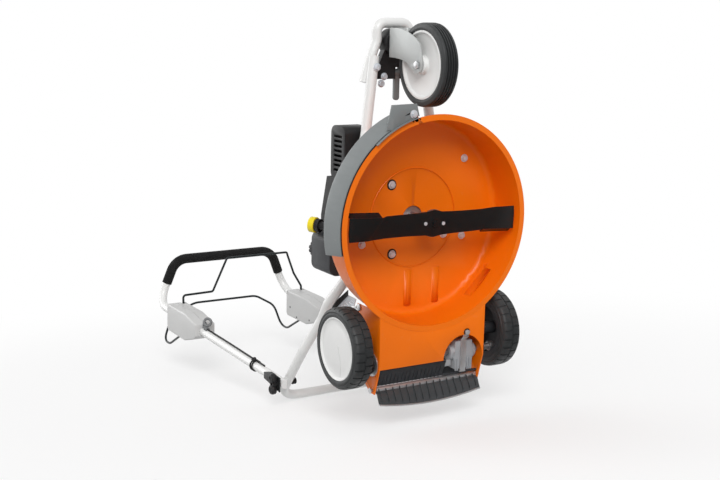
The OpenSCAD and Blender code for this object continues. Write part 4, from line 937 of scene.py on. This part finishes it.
# %% Clamp knobs with two lobes
CLAMP_X, CLAMP_Z, HEAD_Y, HUB_Y, LOBE_Y, LOBE_OFF = -484, 446, 165.6, 224, 226, 15.5
head_profile = [(0, 0), (8, 0), (9, 1), (9, 10.6), (8, 11.6), (0, 11.6), (0, 0)]
hub_profile = [(0, 0), (9, 0), (9, 14), (0, 14), (0, 0)]
lobe_profile = [(0, 0), (10.5, 0), (12.6, 1.6), (13.4, 4.5), (13.4, 10), (12.4, 13.4), (10, 15.4),
                (7, 15.6), (5.6, 13.8), (0, 13.2), (0, 0)]
for side, word in ((1, "left"), (-1, "right")):
    out = (0, side, 0)
    head_place = mm(CLAMP_X, HEAD_Y * side, CLAMP_Z)
    knob = [rod("shank", head_place, mm(CLAMP_X, 238 * side, CLAMP_Z), 4, 24),
            turned("head", head_place, out, head_profile),
            turned("hub", mm(CLAMP_X, HUB_Y * side, CLAMP_Z), out, hub_profile)]
    for x in (CLAMP_X - LOBE_OFF, CLAMP_X + LOBE_OFF):
        knob.append(turned("lobe", mm(x, LOBE_Y * side, CLAMP_Z), out, lobe_profile, 40))
    register(joined("lobed_knob_" + word, knob), "black_plastic", "knob_" + word, ["clamp_knob_" + word], 40)
print("knobs with two lobes each")

# %% Control cable with its double clip
CABLE_R, CLIP_R, CLIP_WIRE_R = 2.4, 0.0145, 0.0022


def beside_leg(along, off):
    return mirror_y(LEG_FOOT, -1) + leg_line * along / 1000 + mm(off, 0, 0)


cable_run = [beside_leg(100, 15.6), beside_leg(190, 15.6), beside_leg(300, 16.2), beside_leg(482, 15.4)]
cable = [wire("cable", cable_run, CABLE_R, 16)]
leg_turn = leg_line.to_track_quat("Z", "Y").to_euler()
for along in (149, 159):
    cable.append(torus(CLIP_R, CLIP_WIRE_R, 48, 10, beside_leg(along, 0), leg_turn))
clip_profile = [(0, 0), (6, 0), (7, 1), (7, 6), (6, 7), (3, 7), (2.4, 5.6), (0, 5.6), (0, 0)]
cable.append(turned("clip knob", beside_leg(154, 15) + mm(0, -3, 0), (1, -0.6, 0), clip_profile, 32))
register(joined("clipped_cable", cable), "rubber", "handle", ["control_cables"], 40)
print("cable and clip")

# %% [markdown]
# ### Behind the rear panel
# A dark ribbed liner closes the space between the rear panel and the flap, beside the gearbox, and
# the gearbox shows its cast arm and ribs.

# %% Ribbed liner
liner_side = [(-349, 47), (-393, 64.5), (-393, 67), (-349, 49.5)]
rib_side = [(-362, 51.2), (-392.6, 62.2), (-392.6, 65.5), (-362, 53.5)]
liner = [prism("liner", across(liner_side, -150), (0, 196, 0))]
for y in range(-142, 45, 11):
    liner.append(prism("rib", across(rib_side, y - 1.1), (0, 2.2, 0)))
liner.append(block("liner end", (-393, 46, 62), (-388, 150, 67)))
liner.append(block("gearbox guard", (-400, 44, 96), (-330, 151, 98)))
liner = register(joined("rear_liner", liner), "dark_plastic", "chassis", degrees=30)
print("liner:", len(liner.data.polygons), "faces")

# %% Cast arm and ribs of the gearbox
arm_bolt = [(0, 4), (4.6, 4), (5.2, 3.4), (5.2, 0), (0, 0)]
strap_bolt = [(0, 5), (4, 5), (6.4, 4.2), (6.5, 0), (9.5, 0), (9.5, -0.8), (0, -0.8), (0, 5)]
arm = [block("arm", (-368, 40, 56), (-352, 67, 63), 2), block("foot", (-363, 28, 57.5), (-350, 46, 61), 1.2),
       turned("arm bolt", mm(-357, 36, 57.5), (0, 0, -1), arm_bolt, 6)]
for y in (79, 84, 114, 119.5, 125):
    arm.append(block("rib", (-383, y, 52), (-352, y + 3.0, 57), 0.8))
arm.append(turned("strap bolt", mm(-281, 101, 40), (0, 0, -1), strap_bolt, 24))
arm = register(joined("gearbox_casting", arm), "alloy", "chassis", degrees=40)
print("cast arm:", len(arm.data.polygons), "faces")

# %% [markdown]
# ## Stage
# The mower stands on a pale ground. In the photograph it leans on its tail on a second floor,
# behind the handle. Both floors are one sided: seen from behind they are clear, and they let the
# lamps' light through. The service floor is also clear when it is looked at along the ground, so
# the standing views don't show it, and it hides nothing that folds back through it.

# %% Floors
FLOOR_SIZE, FLOOR_GREY = 16, 0.93


def mixed(tree, factor, first, second):
    node = tree.nodes.new("ShaderNodeMixShader")
    tree.links.new(factor, node.inputs["Fac"])
    tree.links.new(first, node.inputs[1])
    tree.links.new(second, node.inputs[2])
    return node.outputs["Shader"]


def floor_material(name, reach, tipped_only):
    material = bpy.data.materials.new(name)
    material.use_nodes = True
    tree = material.node_tree
    tree.nodes.clear()
    place = tree.nodes.new("ShaderNodeTexCoord")
    length = tree.nodes.new("ShaderNodeVectorMath")
    length.operation = "LENGTH"
    tree.links.new(place.outputs["Object"], length.inputs[0])
    fade = ramp(tree, length.outputs["Value"], reach * 0.35, reach, 0.45)
    fade.interpolation_type = "SMOOTHSTEP"
    rays = tree.nodes.new("ShaderNodeLightPath").outputs
    pale = tree.nodes.new("ShaderNodeBsdfDiffuse")
    pale.inputs["Color"].default_value = (FLOOR_GREY, FLOOR_GREY, FLOOR_GREY, 1)
    white = tree.nodes.new("ShaderNodeEmission")
    seen = maths(tree, "MULTIPLY", fade.outputs["Result"], rays["Is Camera Ray"])
    surface = mixed(tree, seen, pale.outputs["BSDF"], white.outputs["Emission"])
    side = tree.nodes.new("ShaderNodeNewGeometry")
    unseen = maths(tree, "MAXIMUM", rays["Is Shadow Ray"], rays["Is Diffuse Ray"])
    gone = maths(tree, "MAXIMUM", side.outputs["Backfacing"], unseen)
    if tipped_only:
        upwards = tree.nodes.new("ShaderNodeCombineXYZ")
        upwards.inputs["Z"].default_value = 1
        slant = tree.nodes.new("ShaderNodeLayerWeight")
        tree.links.new(upwards.outputs["Vector"], slant.inputs["Normal"])
        level_look = ramp(tree, slant.outputs["Facing"], 0.40, 0.52)
        gone = maths(tree, "MAXIMUM", level_look.outputs["Result"], gone)
    clear_shader = tree.nodes.new("ShaderNodeBsdfTransparent")
    output = tree.nodes.new("ShaderNodeOutputMaterial")
    one_sided = mixed(tree, gone, surface, clear_shader.outputs["BSDF"])
    tree.links.new(one_sided, output.inputs["Surface"])
    return material


def floor(name, centre, normal, reach, tipped_only=False):
    clear()
    turn = Vector((0, 0, 1)).rotation_difference(Vector(normal)).to_euler()
    bpy.ops.mesh.primitive_plane_add(size=FLOOR_SIZE, location=centre, rotation=turn)
    plane = bpy.context.object
    plane.name = name
    plane.data.materials.append(floor_material(name + " material", reach, tipped_only))


floor("ground", (0, 0, -0.0005), (0, 0, 1), 3.2)
floor("service_floor", mm(-582, 0, 674), (0.9917, 0, 0.1289), 2.2, tipped_only=True)
print("two floors")

# %% White backdrop, less bright as a light than as it is seen
world = bpy.context.scene.world or bpy.data.worlds.new("studio")
bpy.context.scene.world = world
world.use_nodes = True
tree = world.node_tree
sky = tree.nodes["Background"]
sky.inputs["Color"].default_value = (1, 1, 1, 1)
rays = tree.nodes.new("ShaderNodeLightPath").outputs
shown = maths(tree, "MAXIMUM", rays["Is Camera Ray"], rays["Is Glossy Ray"])
shown = maths(tree, "MAXIMUM", shown, rays["Is Transmission Ray"])
strength = ramp(tree, shown, 0, 1, 0.52)
tree.links.new(strength.outputs["Result"], sky.inputs["Strength"])
print("white backdrop")

# %% [markdown]
# ## Lamps and camera
# Soft suns keep one level everywhere, so a colour renders about as it is written. One key comes
# over the camera's shoulder for the tipped view, one comes from above for the standing views, and
# a weak one fills the other side. The camera's axes were worked out from the wheels, the deck's
# rim and the handle in the photograph.

# %% Lamps and camera
CAMERA_RIGHT = Vector((0.020699, 0.858499, -0.512406))
CAMERA_UP = Vector((0.980829, 0.081894, 0.176827))
CAMERA_BACK = Vector((0.193767, -0.506244, -0.840347))
CAMERA_PLACE = Vector((0.52278, -1.63524, -2.31587))
CAMERA_LENS = 60.41


def sun(name, towards_lamp, strength, softness):
    lamp = bpy.data.lights.new(name, "SUN")
    lamp.energy = strength
    lamp.angle = math.radians(softness)
    holder = bpy.data.objects.new(name, lamp)
    bpy.context.scene.collection.objects.link(holder)
    holder.rotation_euler = Vector(towards_lamp).to_track_quat("Z", "Y").to_euler()


sun("tipped_key", CAMERA_BACK + CAMERA_UP * 0.5, 2.1, 28)
sun("upright_key", (0.25, -0.45, 0.85), 0.9, 40)
sun("fill", (-0.5, 0.7, 0.35), 0.3, 60)

camera = bpy.data.objects.new("camera", bpy.data.cameras.new("camera"))
bpy.context.scene.collection.objects.link(camera)
camera.data.sensor_width = 36
camera.data.lens = CAMERA_LENS
turn = Matrix((CAMERA_RIGHT, CAMERA_UP, CAMERA_BACK)).transposed().to_4x4()
camera.matrix_world = Matrix.Translation(CAMERA_PLACE) @ turn
bpy.context.scene.camera = camera
bpy.context.scene.view_settings.view_transform = "Standard"
print("camera at", tuple(round(c, 3) for c in CAMERA_PLACE))
